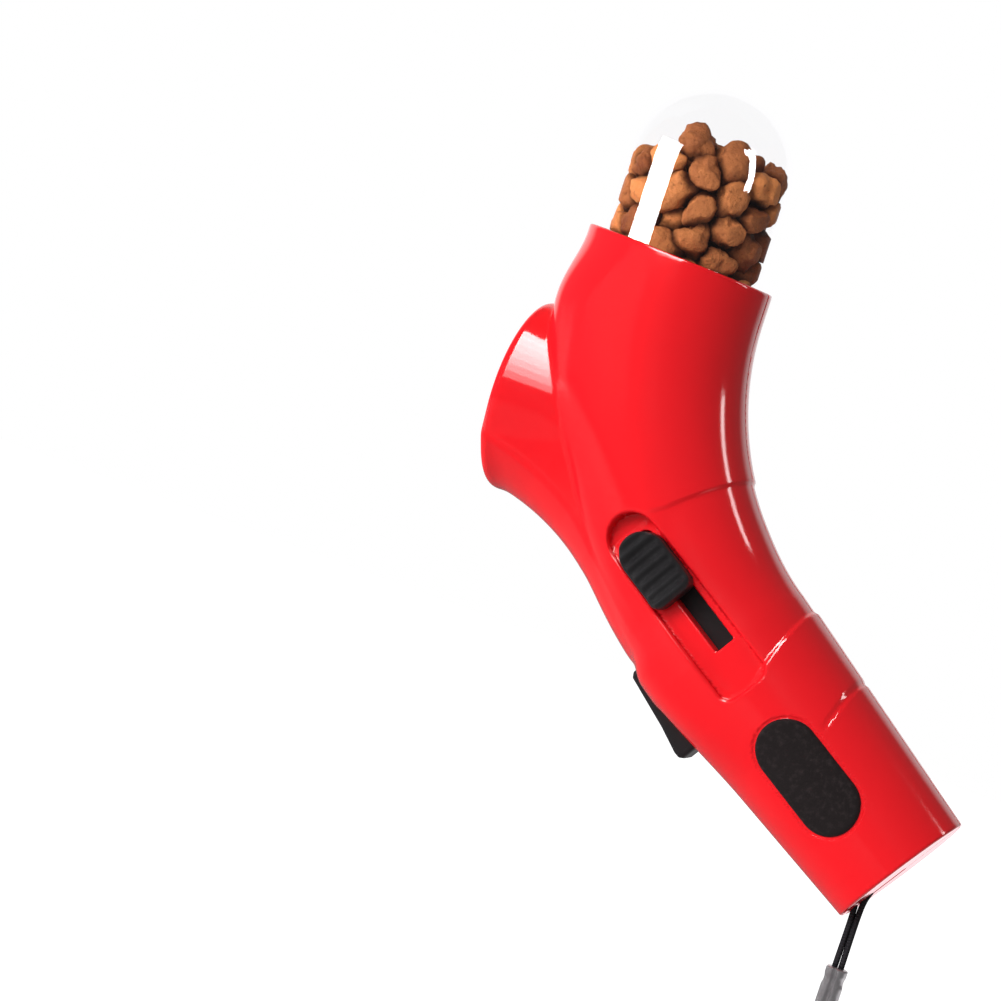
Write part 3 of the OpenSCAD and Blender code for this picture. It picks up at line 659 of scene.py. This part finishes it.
def add_piece(name, points, faces, slot, body, nodes=(), normals=None, attributes=None):
    """A smooth mesh from points in metres, with its finish, riding on a body."""
    mesh = bpy.data.meshes.new(name)
    mesh.from_pydata(np.asarray(points).tolist(), [], faces if isinstance(faces, list) else faces.tolist())
    mesh.validate()
    mesh.polygons.foreach_set("use_smooth", np.ones(len(mesh.polygons), bool))
    for key, (kind, values) in (attributes or {}).items():
        layer = mesh.attributes.new(key, kind, "POINT")
        member = "vector" if kind == "FLOAT_VECTOR" else "value"
        layer.data.foreach_set(member, np.ravel(values).astype(np.float32))
    if normals is not None:
        mesh.normals_split_custom_set_from_vertices(np.asarray(normals).tolist())
    mesh.materials.append(finish_of(slot))
    piece = bpy.data.objects.new(name, mesh)
    bpy.context.scene.collection.objects.link(piece)
    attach(piece, body)
    if nodes:
        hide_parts(*nodes)
    return piece


def add_field(name, field, low, high, step, slot, body, nodes=(), skin=None):
    """A piece from its field; points close to the skin's field are shaded as part of it."""
    points, quads, normals = net(field, low, high, step)
    if skin:
        near = np.abs(skin(*points.T)) < 0.3
        slope = slopes(skin, points[near], step * 0.15)
        normals[near] = slope / np.maximum(np.linalg.norm(slope, axis=1, keepdims=True), 1e-9)
    return add_piece(name, to_row(points), quads, slot, body, nodes, normals)


def handle_box(t0, t1, u0, u1, y0, y1):
    """Corners of the upright box round a box in the handle's frame."""
    ends = np.array([handle_point(t, u, y) for t in (t0, t1) for u in (u0, u1) for y in (y0, y1)])
    return ends.min(axis=0) - 1, ends.max(axis=0) + 1


def lathe(profile, segments):
    """Points and quads of a closed profile of (radius, z) turned about the canister's axis."""
    turns = 2 * math.pi * np.arange(segments) / segments
    points = np.array([(r * math.cos(a), r * math.sin(a), z) for a in turns for r, z in profile])
    n = len(profile)
    faces = []
    for i in range(segments):
        for k in range(n - 1):
            a, b = i * n + k, (i + 1) % segments * n + k
            faces.append([a, b, b + 1, a + 1])
    return points, faces


# The pieces


class LAUNCHER_OT_camera(bpy.types.Operator):
    """Sets the camera where the photograph was taken from"""

    bl_idname = "launcher.camera"
    bl_label = "Camera"

    def execute(self, context):
        yaw, rise, roll = (math.radians(a) for a in (17.0, 1.5, 18.0))
        away, sharp = 0.7, 2800.0
        back = Vector((math.sin(yaw) * math.cos(rise), -math.cos(yaw) * math.cos(rise), math.sin(rise)))
        level = Vector((math.cos(yaw), math.sin(yaw), 0))
        upright = back.cross(level)
        right = math.cos(roll) * level + math.sin(roll) * upright
        up = math.cos(roll) * upright - math.sin(roll) * level
        aim = Vector((627.5 - 500.5, 500.5 - 425.2, -sharp)).normalized()
        shift = aim.rotation_difference(Vector((0, 0, -1))).to_matrix()
        facing = Matrix((right, up, back)).transposed() @ shift
        camera = bpy.data.objects.new("camera", bpy.data.cameras.new("camera"))
        centre = Vector((-0.064843, 0, 0.057832))
        camera.matrix_world = Matrix.Translation(centre + back * away) @ facing.to_4x4()
        camera.data.sensor_width = 36
        camera.data.lens = sharp / 1001 * 36
        camera.data.clip_start = 0.01
        context.scene.collection.objects.link(camera)
        context.scene.camera = camera
        return {"FINISHED"}


def smooth_route(route, steps):
    """A smooth line through flat route points."""
    route = np.asarray(route, float)
    line = []
    for i in range(len(route) - 1):
        a, b, c, d = route[max(i - 1, 0)], route[i], route[i + 1], route[min(i + 2, len(route) - 1)]
        for f in np.arange(steps) / steps:
            line.append((2 * b + (c - a) * f + (2 * a - 5 * b + 4 * c - d) * f ** 2
                         + (3 * b - a - 3 * c + d) * f ** 3) / 2)
    return np.array(line + [route[-1]])


def swept(points, section, side):
    """Points, faces and weave places of a section swept along a line."""
    points, section, side = np.asarray(points, float), np.asarray(section, float), np.asarray(side, float)
    along = np.gradient(points, axis=0)
    across = np.cross(along, side)
    n = across / np.linalg.norm(across, axis=1, keepdims=True)
    b = np.cross(n, along)
    b /= np.linalg.norm(b, axis=1, keepdims=True)
    rings = points[:, None] + section[None, :, :1] * n[:, None] + section[None, :, 1:] * b[:, None]
    count, sides = len(points), len(section)
    run = np.concatenate([[0], np.cumsum(np.linalg.norm(np.diff(points, axis=0), axis=1))])
    weave = np.zeros((count, sides, 3))
    weave[:, :, 0] = run[:, None]
    weave[:, :, 1] = np.arange(sides) / sides
    faces = []
    for i in range(count - 1):
        for k in range(sides):
            a, c = i * sides + k, i * sides + (k + 1) % sides
            faces.append([a, c, c + sides, a + sides])
    faces.append(list(range(sides - 1, -1, -1)))
    faces.append([(count - 1) * sides + k for k in range(sides)])
    return rings.reshape(-1, 3), faces, weave.reshape(-1, 3)


class LAUNCHER_OT_strap(bpy.types.Operator):
    """Builds the doubled cord, its crimped ferrule and the wrist loop"""

    bl_idname = "launcher.strap"
    bl_label = "Strap"

    def execute(self, context):
        thin = sizes().thin_cord * 1000
        wide, thick = sizes().loop_width * 1000, sizes().loop_thick * 1000
        pin = handle_point(*STRAP_PIN)
        fall, sleeve = 28.2, 14.0
        wrap, strand, layer = 2.05 * thin, (thin + 0.1) / 2, (thick + 0.5) / 2
        down = [[wrap, -2], [(wrap + strand) / 2, -7.5], [strand, -13], [strand, -fall]]
        over = [[wrap * math.cos(a), wrap * math.sin(a)] for a in np.radians(np.arange(180, -1, -30))]
        route = [[-x, z] for x, z in down[::-1]] + over + down
        line = np.array([pin + (x, 0, z) for x, z in smooth_route(route, 6)])
        around = [(thin / 2 * math.cos(a), thin / 2 * math.sin(a)) for a in np.arange(16) * math.pi / 8]
        points, faces, weave = swept(line, around, (0, 1, 0))
        weave *= (0.5 / thin * 2, 2, 1)
        cord = add_piece("doubled_cord", to_row(points), faces, "cord", "housing", ["strap_cord"],
                         attributes={"weave": ("FLOAT_VECTOR", weave)})

        foot = pin - (0, 0, fall + sleeve + 0.06)
        half_w, half_d = (max(2 * thin + 0.1, wide) + 0.8) / 2, (max(thin, 2 * thick + 0.5) + 0.8) / 2

        def ferrule(x, y, z):
            x, z = x - foot[0], z - foot[2]
            tube = np.hypot(np.maximum(np.abs(x) - half_w + half_d, 0), y) - half_d
            pinch = ease(1.6, 0.3, np.abs(z - 3.2)) + ease(1.6, 0.3, np.abs(z - sleeve + 3.2))
            tube = tube + 0.22 * pinch * ease(0.2, 1.2, np.abs(x))
            tube = soft_max(tube, 0.55 - np.hypot(x, np.abs(y) - half_d), 0.35)
            return soft_max(tube, np.abs(z - sleeve / 2) - sleeve / 2, 0.5)

        reach = np.array([half_w + 0.6, half_d + 0.6, 0.6])
        low, high = foot - reach, foot + reach + (0, 0, sleeve)
        sleeve_piece = add_field("crimped_ferrule", ferrule, low, high, 0.25, "bright_metal", "housing",
                                 ["strap_ferrule"])

        half = [[layer, -0.3], [layer, -3], [4, -15], [13, -34], [22, -56], [23, -78], [14, -94]]
        route = [[-y, z] for y, z in half] + [[0, -100]] + half[::-1]
        loop_line = np.array([foot + (0, y, z) for y, z in smooth_route(route, 8)])
        edge = thick / 2
        band = []
        for end in (1, -1):
            for a in np.radians(np.arange(-90, 91, 30)):
                band.append((-edge * math.sin(a) * end, end * (wide / 2 - edge + edge * math.cos(a))))
        rims = []
        for first, last in zip(band, band[1:] + band[:1]):
            parts = 9 if abs(first[1] - last[1]) > 1 else 1
            for i in range(parts):
                rims.append(tuple(np.array(first) + (np.array(last) - first) * i / parts))
        points, faces, weave = swept(loop_line, rims, (1, 0, 0))
        weave *= (0.55, 5, 1)
        loop = add_piece("wrist_loop_band", to_row(points), faces, "cord", "housing", ["wrist_loop"],
                         attributes={"weave": ("FLOAT_VECTOR", weave)})
        for piece, path, width in ((cord, line, thin), (loop, loop_line, wide)):
            path = to_row(path)
            length = float(np.linalg.norm(np.diff(path, axis=0), axis=1).sum())
            tuple(path[0])
            [tuple(p) for p in path]
        return {"FINISHED"}


class LAUNCHER_OT_body(bpy.types.Operator):
    """Builds the two halves of the red body"""

    bl_idname = "launcher.body"
    bl_label = "Body"

    def execute(self, context):
        step, recess = sizes().body_step * 1000, sizes().recess * 1000
        for side, name, low, high in ((-1, "left", -27, 1.8), (1, "right", -1.8, 27)):
            add_field(name + "_body", shell_field(side, recess), (-31, low, -104), (124, high, 48), step,
                      "red_plastic", "housing", [name + "_shell"], shell_field(side, recess, False))
        return {"FINISHED"}


class LAUNCHER_OT_canister(bpy.types.Operator):
    """Builds the clear domed canister"""

    bl_idname = "launcher.canister"
    bl_label = "Canister"

    def execute(self, context):
        out, thin, low = 20.7, 19.8, 20.9
        profile = [(thin, low + 0.4), (thin + 0.4, low), (out - 0.4, low), (out, low + 0.4)]
        profile += [(out, low + 0.4 + (DOME_Z - low - 0.4) * i / 12) for i in range(1, 13)]
        profile += [(out * math.cos(a), DOME_Z + out * math.sin(a)) for a in np.radians(np.arange(4, 90, 4))]
        profile += [(0.02, DOME_Z + out), (0.02, DOME_Z + thin)]
        profile += [(thin * math.cos(a), DOME_Z + thin * math.sin(a))
                    for a in np.radians(np.arange(88, 0, -4))]
        profile += [(thin, DOME_Z - (DOME_Z - low - 0.4) * i / 12) for i in range(13)]
        points, faces = lathe(profile, 96)
        add_piece("clear_canister", to_row(points), faces, "clear_plastic", "canister", ["canister"])
        return {"FINISHED"}


def settle(count, size, seed):
    """Centres of treats shaken down into the canister, level with the tilted hand-held canister."""
    dice = np.random.RandomState(seed)
    low, wide = 25.5, 19.5 - size * 0.42
    turn, out = dice.rand(count) * 2 * math.pi, np.sqrt(dice.rand(count)) * wide
    place = np.stack([out * np.cos(turn), out * np.sin(turn), low + dice.rand(count) * 46], 1)
    for _ in range(500):
        gap = place[:, None] - place[None]
        far = np.linalg.norm(gap, axis=2) + np.eye(count) * 1e6
        push = np.maximum(size * 0.9 - far, 0) / far
        place += 0.35 * np.sum(gap * push[:, :, None], 1)
        place[:, 2] -= 0.02
        out = np.hypot(place[:, 0], place[:, 1])
        place[:, :2] *= np.minimum(1, wide / np.maximum(out, 1e-6))[:, None]
        place[:, 2] = np.clip(place[:, 2], low, 71.6 + 0.45 * place[:, 0])
        up = place - (0, 0, DOME_Z)
        far = np.linalg.norm(up, axis=1)
        over = (up[:, 2] > 0) & (far > wide)
        place[over] = (up[over] * (wide / far[over])[:, None]) + (0, 0, DOME_Z)
    return place, dice


class LAUNCHER_OT_treats(bpy.types.Operator):
    """Fills the canister with irregular baked treats"""

    bl_idname = "launcher.treats"
    bl_label = "Treats"

    def execute(self, context):
        size, wall = sizes().treat_size * 1000, 19.6
        places, dice = settle(sizes().treats, size, 11)
        ball = bmesh.new()
        bmesh.ops.create_icosphere(ball, subdivisions=4, radius=1.0)
        ways = np.array([v.co for v in ball.verts])
        tris = np.array([[v.index for v in f.verts] for f in ball.faces])
        ball.free()
        turn, flat = np.arctan2(ways[:, 1], ways[:, 0]), 1 - ways[:, 2] ** 2
        points, faces, shades, clear_of_painted_shade_marks = [], [], [], []
        for n, place in enumerate(places):
            spin = np.array(Matrix.Rotation(dice.rand() * 6.28, 3, Vector(dice.normal(size=3))))
            lobes, lean, count = 0.08 + 0.14 * dice.rand(), dice.rand() * 6.28, dice.randint(2, 5)
            dent = 0.22 * np.maximum(0, np.cos(turn - lean)) ** 6 * flat
            swell = 1 + lobes * flat * np.cos(count * turn + lean) - dent
            shift = Vector((n * 3.1, n * 1.7, 0))
            ruffle = np.array([
                0.24 * noise.noise(Vector(w) * 1.4 + shift) + 0.12 * noise.noise(Vector(w) * 3.1 + shift)
                + 0.055 * noise.noise(Vector(w) * 7.5 - shift) for w in ways.tolist()
            ])
            radii = 0.5 * size * (0.85 + 0.32 * dice.rand()) * np.array([1.16, 1.0, 0.68 + 0.2 * dice.rand()])
            lump = (ways * radii * (swell + ruffle)[:, None]) @ spin.T + place
            out = np.hypot(lump[:, 0], lump[:, 1])
            lump[:, :2] *= np.minimum(1, wall / np.maximum(out, 1e-6))[:, None]
            up = lump - (0, 0, DOME_Z)
            far = np.linalg.norm(up, axis=1)
            over = (up[:, 2] > 0) & (far > wall)
            lump[over] = up[over] * (wall / far[over])[:, None] + (0, 0, DOME_Z)
            lump[:, 2] = np.maximum(lump[:, 2], 21.6)
            faces.append(tris + len(ways) * n)
            points.append(lump)
            shades.append(np.full(len(ways), dice.rand()))
            # Painted shade: vertices close to a neighbouring treat get an open value towards 0, which darkens
            # them where treats touch
            others = np.delete(places, n, axis=0)
            others = others[np.linalg.norm(others - place, axis=1) < 2.2 * size]
            near = np.linalg.norm(lump[:, None] - others[None], axis=2).min(axis=1)
            clear_of_painted_shade_marks.append(ease(0.48 * size, 0.74 * size, near))
        marks = {"shade": ("FLOAT", np.concatenate(shades)), "open": ("FLOAT", np.concatenate(clear_of_painted_shade_marks))}
        add_piece("treats", to_row(np.vstack(points)), np.vstack(faces), "treat", "canister", ["treat_load"],
                  attributes=marks)
        return {"FINISHED"}


class LAUNCHER_OT_slider(bpy.types.Operator):
    """Builds the thumb slider's ridged knob"""

    bl_idname = "launcher.slider"
    bl_label = "Slider"

    def execute(self, context):
        def knob(x, y, z):
            t, u = handle_places(x, z)
            side = u - TRACK_U
            top = 25.2 + 0.3 * np.cos((t + 22.0) * (2 * math.pi / 2.8)) * ease(5.6, 4.4, np.abs(side))
            top = top + 1.0 * ease(4.0, 9.0, np.abs(t + 24.3)) - 0.7 * ease(2.5, 6.0, np.abs(side))
            cap = run_field(t, u, *KNOB)
            cap = soft_max(soft_max(cap, -y - top, 1.2), 20.5 + y, 0.4)
            stem = frame_field(t, u - SLIDE_U, -31.8, -26.3, -2.2, 2.2, 0.6)
            return np.minimum(cap, np.maximum(np.maximum(stem, -y - 21.1), 15.4 + y))

        low, high = handle_box(-35, -13.5, -9, 6, -28, -15)
        add_field("slider_thumb_piece", knob, low, high, sizes().fine_step * 1000, "black_plastic", "slider",
                  ["slider_knob"])
        return {"FINISHED"}


class LAUNCHER_OT_trigger(bpy.types.Operator):
    """Builds the trigger"""

    bl_idname = "launcher.trigger"
    bl_label = "Trigger"

    def execute(self, context):
        head, mid, toe = (handle_radius(t) for t in (0, 5, 10))
        outline = [
            (17.2, -11), (head + 0.4, -11), (head + 1.5, -10), (head + 2.2, -4), (mid + 3.4, 4), (toe + 5, 11),
            (toe + 4.9, 12.6), (toe + 3.9, 13.6), (19.4, 13.6), (19, 9), (17.2, 3), (15.4, 2.5), (15.4, -0.5),
            (17.2, -1),
        ]

        def lever(x, y, z):
            t, u = handle_places(x, z)
            plate = soft_max(outline_field(u, t, outline), np.abs(y) - 4.5, 1.3)
            from_pin = np.hypot(t - TRIGGER_PIN[0], u - TRIGGER_PIN[1])
            hub = np.maximum(from_pin - 2.6, np.abs(y) - 4.4)
            return np.maximum(np.minimum(plate, hub), 1.3 - from_pin)

        low, high = handle_box(-13, 15.5, 14, 29, -5.5, 5.5)
        add_field("trigger_lever", lever, low, high, sizes().fine_step * 1000, "black_plastic", "trigger",
                  ["trigger"])
        return {"FINISHED"}


class LAUNCHER_OT_pads(bpy.types.Operator):
    """Builds the two rubber grip pads"""

    bl_idname = "launcher.pads"
    bl_label = "Grip pads"

    def execute(self, context):
        for side, name in ((-1, "left_grip"), (1, "right_grip")):

            def pad(x, y, z, side=side):
                t, u = handle_places(x, z)
                skin = handle_skin(t, u, y)
                edge = pad_field(t, u) + 0.1
                form = soft_max(edge, skin - 0.5, 1.1)
                return np.maximum(np.maximum(form, -skin - 0.9), -side * y)

            low, high = handle_box(20, 55, -9, 10, *((-23, -10) if side < 0 else (10, 23)))
            add_field(name + "_rubber", pad, low, high, sizes().fine_step * 1000, "rubber", "housing",
                      [name + "_pad"])
        return {"FINISHED"}


class LAUNCHER_OT_spring(bpy.types.Operator):
    """Winds the launch spring at one length; the real spring shortens as the slider is drawn back"""

    bl_idname = "launcher.spring"
    bl_label = "Launch spring"

    def execute(self, context):
        front, back, turns, wire, drawn = -0.25, 39.25, 8, sizes().spring_wire * 1000, 26.0
        angles = np.radians(np.arange(0, 360 * turns + 1, 12))
        rise = (back - front) / angles[-1]
        line = [handle_point(front + rise * a, COIL_R * math.cos(a), COIL_R * math.sin(a)) for a in angles]
        around = [(wire / 2 * math.cos(a), wire / 2 * math.sin(a)) for a in np.arange(12) * math.pi / 6]
        axis = (DOWN[0], 0, DOWN[1])
        points, faces, _ = swept(line, around, axis)
        coil = add_piece("launch_coil", to_row(points), faces, "steel", "housing", ["launch_spring"])
        seat = to_row(handle_point(back + wire / 2, 0))
        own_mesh(coil)
        return {"FINISHED"}


class LAUNCHER_OT_inner(bpy.types.Operator):
    """Gives the parts that stay as built their finishes"""

    bl_idname = "launcher.inner"
    bl_label = "Inner parts"

    def execute(self, context):
        for sub in frame["record"]["subparts"]:
            node = frame["nodes"][sub["node"]]
            if not node.hide_render:
                node.data.materials.clear()
                node.data.materials.append(finish_of(sub["material_slot"]))
        return {"FINISHED"}


MIDDLE, NOZZLE = (-0.055, 0, 0.06), (-0.088, -0.015, 0.065)
DOME, BASE = (-0.06, -0.015, 0.12), (0.032, 0, -0.028)
WHITE, PINK = (1, 1, 1), (1, 0.62, 0.66)
LEFT, RIGHT, CLEAR = ("left_body",), ("right_body",), ("clear_canister",)
# Name, colour, aim, turn and rise in degrees, distance, width, height, watts, whether gloss and matt show
# it, and the pieces that it lights
LAMPS = (
    ("key_softbox", WHITE, MIDDLE, -120, 14, 1.1, 0.6, 0.6, 8.6, (False, True), None),
    ("fill_softbox", WHITE, MIDDLE, -88, 35, 1.3, 0.9, 0.9, 7.0, (False, True), None),
    ("low_softbox", WHITE, MIDDLE, -170, -9, 1.0, 0.7, 0.2, 10.0, (False, True), None),
    ("edge_strip", WHITE, MIDDLE, 20, 32, 0.9, 0.09, 0.42, 1.2, (True, False), LEFT),
    ("back_softbox", WHITE, MIDDLE, 75, 30, 1.3, 0.9, 0.9, 7.0, (False, True), RIGHT),
    ("base_card", PINK, BASE, 86, -17, 0.3, 0.16, 0.16, 0.095, (True, False), LEFT + RIGHT),
    ("glint_strip", WHITE, MIDDLE, -141, 8, 0.8, 0.5, 0.5, 50.0, (True, False), CLEAR),
    ("dome_glint", WHITE, DOME, -15, 19, 0.8, 0.14, 0.42, 13.0, (True, False), CLEAR),
    ("dome_bar", WHITE, DOME, -20, 37, 0.8, 0.20, 0.10, 4.6, (True, False), CLEAR),
)
# The nozzle's white patch: one card over the next, each lower one dimmer
LAMPS += tuple(
    ("card_%d" % i, WHITE, NOZZLE, -81, 71 - 9 * i, 0.22, 0.12, 0.036, 0.0136 * level, (True, False), LEFT)
    for i, level in enumerate((20, 20, 18.5, 16, 12.5, 8.5, 4.5)))


class LAUNCHER_OT_stage(bpy.types.Operator):
    """Sets the floor, the studio world and its lamps"""

    bl_idname = "launcher.stage"
    bl_label = "Stage"

    def execute(self, context):
        scene = context.scene
        scene.view_settings.view_transform = "Standard"
        low = CAD_BOX[0][2] - 0.004
        self.floor([(-1.5, -1.5, low), (1.5, -1.5, low), (1.5, 1.5, low), (-1.5, 1.5, low)])
        scene.world = self.studio()
        for name, colour, aim, turn, rise, away, wide, tall, power, (mirrored, spread), only in LAMPS:
            lamp = bpy.data.lights.new(name, "AREA")
            lamp.shape = "RECTANGLE"
            lamp.size, lamp.size_y, lamp.energy, lamp.color = wide, tall, power, colour
            piece = bpy.data.objects.new(name, lamp)
            turn, rise = math.radians(turn), math.radians(rise)
            way = Vector((math.cos(rise) * math.cos(turn), math.cos(rise) * math.sin(turn), math.sin(rise)))
            piece.location = Vector(aim) + away * way
            piece.rotation_euler = (-way).to_track_quat("-Z", "Y").to_euler()
            piece.visible_camera, piece.visible_glossy, piece.visible_diffuse = False, mirrored, spread
            scene.collection.objects.link(piece)
            if only:
                lit = bpy.data.collections.new(name + "_lit")
                for lit_piece in only:
                    lit.objects.link(bpy.data.objects[lit_piece])
                piece.light_linking.receiver_collection = lit
        return {"FINISHED"}

    def floor(self, corners):
        """A white floor that keeps the object's shadow; gloss sees only its far part."""
        mesh = bpy.data.meshes.new("floor")
        mesh.from_pydata(corners, [], [[0, 1, 2, 3]])
        f = Finish("floor_paint", Roughness=0.9, Specular_IOR_Level=0.1)
        camera, gloss = (f.ray(kind) for kind in ("Camera", "Glossy"))
        place = f.place()
        far = f.node("ShaderNodeVectorMath", {"operation": "LENGTH"}, {0: place}, "Value")
        wide, deep = (f.node("ShaderNodeSeparateXYZ", None, {0: place}, i) for i in (0, 1))
        seen = f.between(deep, -0.1, 0.02) * (0.12 + 0.63 * f.between(wide, -0.03, 0.07))
        share = camera * (0.58 + 0.42 * f.between(far, 0.15, 0.4)) + gloss * seen
        f.set(Base_Color=f.mix(gloss, (0.8, 0.8, 0.8, 1), (0.2, 0.2, 0.2, 1)))
        f.set(Emission_Color=f.mix(share, (0, 0, 0, 1), (1, 1, 1, 1)), Emission_Strength=1.0)
        mesh.materials.append(f.material)
        piece = bpy.data.objects.new("floor", mesh)
        bpy.context.scene.collection.objects.link(piece)

    def studio(self):
        """White to the camera, white behind the object in its gloss, and dim elsewhere."""
        f = Finish("studio", "worlds", "Background", "World Output", Strength=1.0)
        camera, gloss, clear = (f.ray(kind) for kind in ("Camera", "Glossy", "Transmission"))
        way = f.node("ShaderNodeTexCoord", output="Generated")
        ahead = {0: way, 1: (-0.292, 0.956, 0)}
        facing = f.node("ShaderNodeVectorMath", {"operation": "DOT_PRODUCT"}, ahead, "Value")
        behind = f.between(facing, 0.62, 0.76)
        shown = {0: camera + (gloss + clear) * behind, 1: 1.0}
        white = f.node("ShaderNodeMath", {"operation": "MINIMUM"}, shown)
        f.set(Color=f.mix(white, (0.16, 0.16, 0.16, 1), (1, 1, 1, 1)))
        return f.material


PIECES = (
    LAUNCHER_OT_camera, LAUNCHER_OT_strap, LAUNCHER_OT_body, LAUNCHER_OT_canister, LAUNCHER_OT_treats,
    LAUNCHER_OT_slider, LAUNCHER_OT_trigger, LAUNCHER_OT_pads, LAUNCHER_OT_spring, LAUNCHER_OT_inner,
    LAUNCHER_OT_stage,
)


class LAUNCHER_PT_panel(bpy.types.Panel):
    """Lists the launcher's pieces, sizes and colours"""

    bl_idname = "LAUNCHER_PT_panel"
    bl_label = "Treat launcher"
    bl_space_type = "VIEW_3D"
    bl_region_type = "UI"
    bl_category = "Launcher"

    def draw(self, context):
        for piece in PIECES:
            self.layout.operator(piece.bl_idname)
        for group in (sizes(), look()):
            for name in group.__annotations__:
                self.layout.prop(group, name)


CLASSES = (LauncherLook, LauncherSizes) + PIECES + (LAUNCHER_PT_panel,)


def register():
    for cls in CLASSES:
        bpy.utils.register_class(cls)
    bpy.types.Scene.launcher_look = bpy.props.PointerProperty(type=LauncherLook)
    bpy.types.Scene.launcher_sizes = bpy.props.PointerProperty(type=LauncherSizes)


def unregister():
    del bpy.types.Scene.launcher_sizes
    del bpy.types.Scene.launcher_look
    for cls in reversed(CLASSES):
        bpy.utils.unregister_class(cls)


def main():
    register()
    for piece in PIECES:
        group, name = piece.bl_idname.split(".")
        getattr(getattr(bpy.ops, group), name)()


if __name__ == "__main__":
    main()
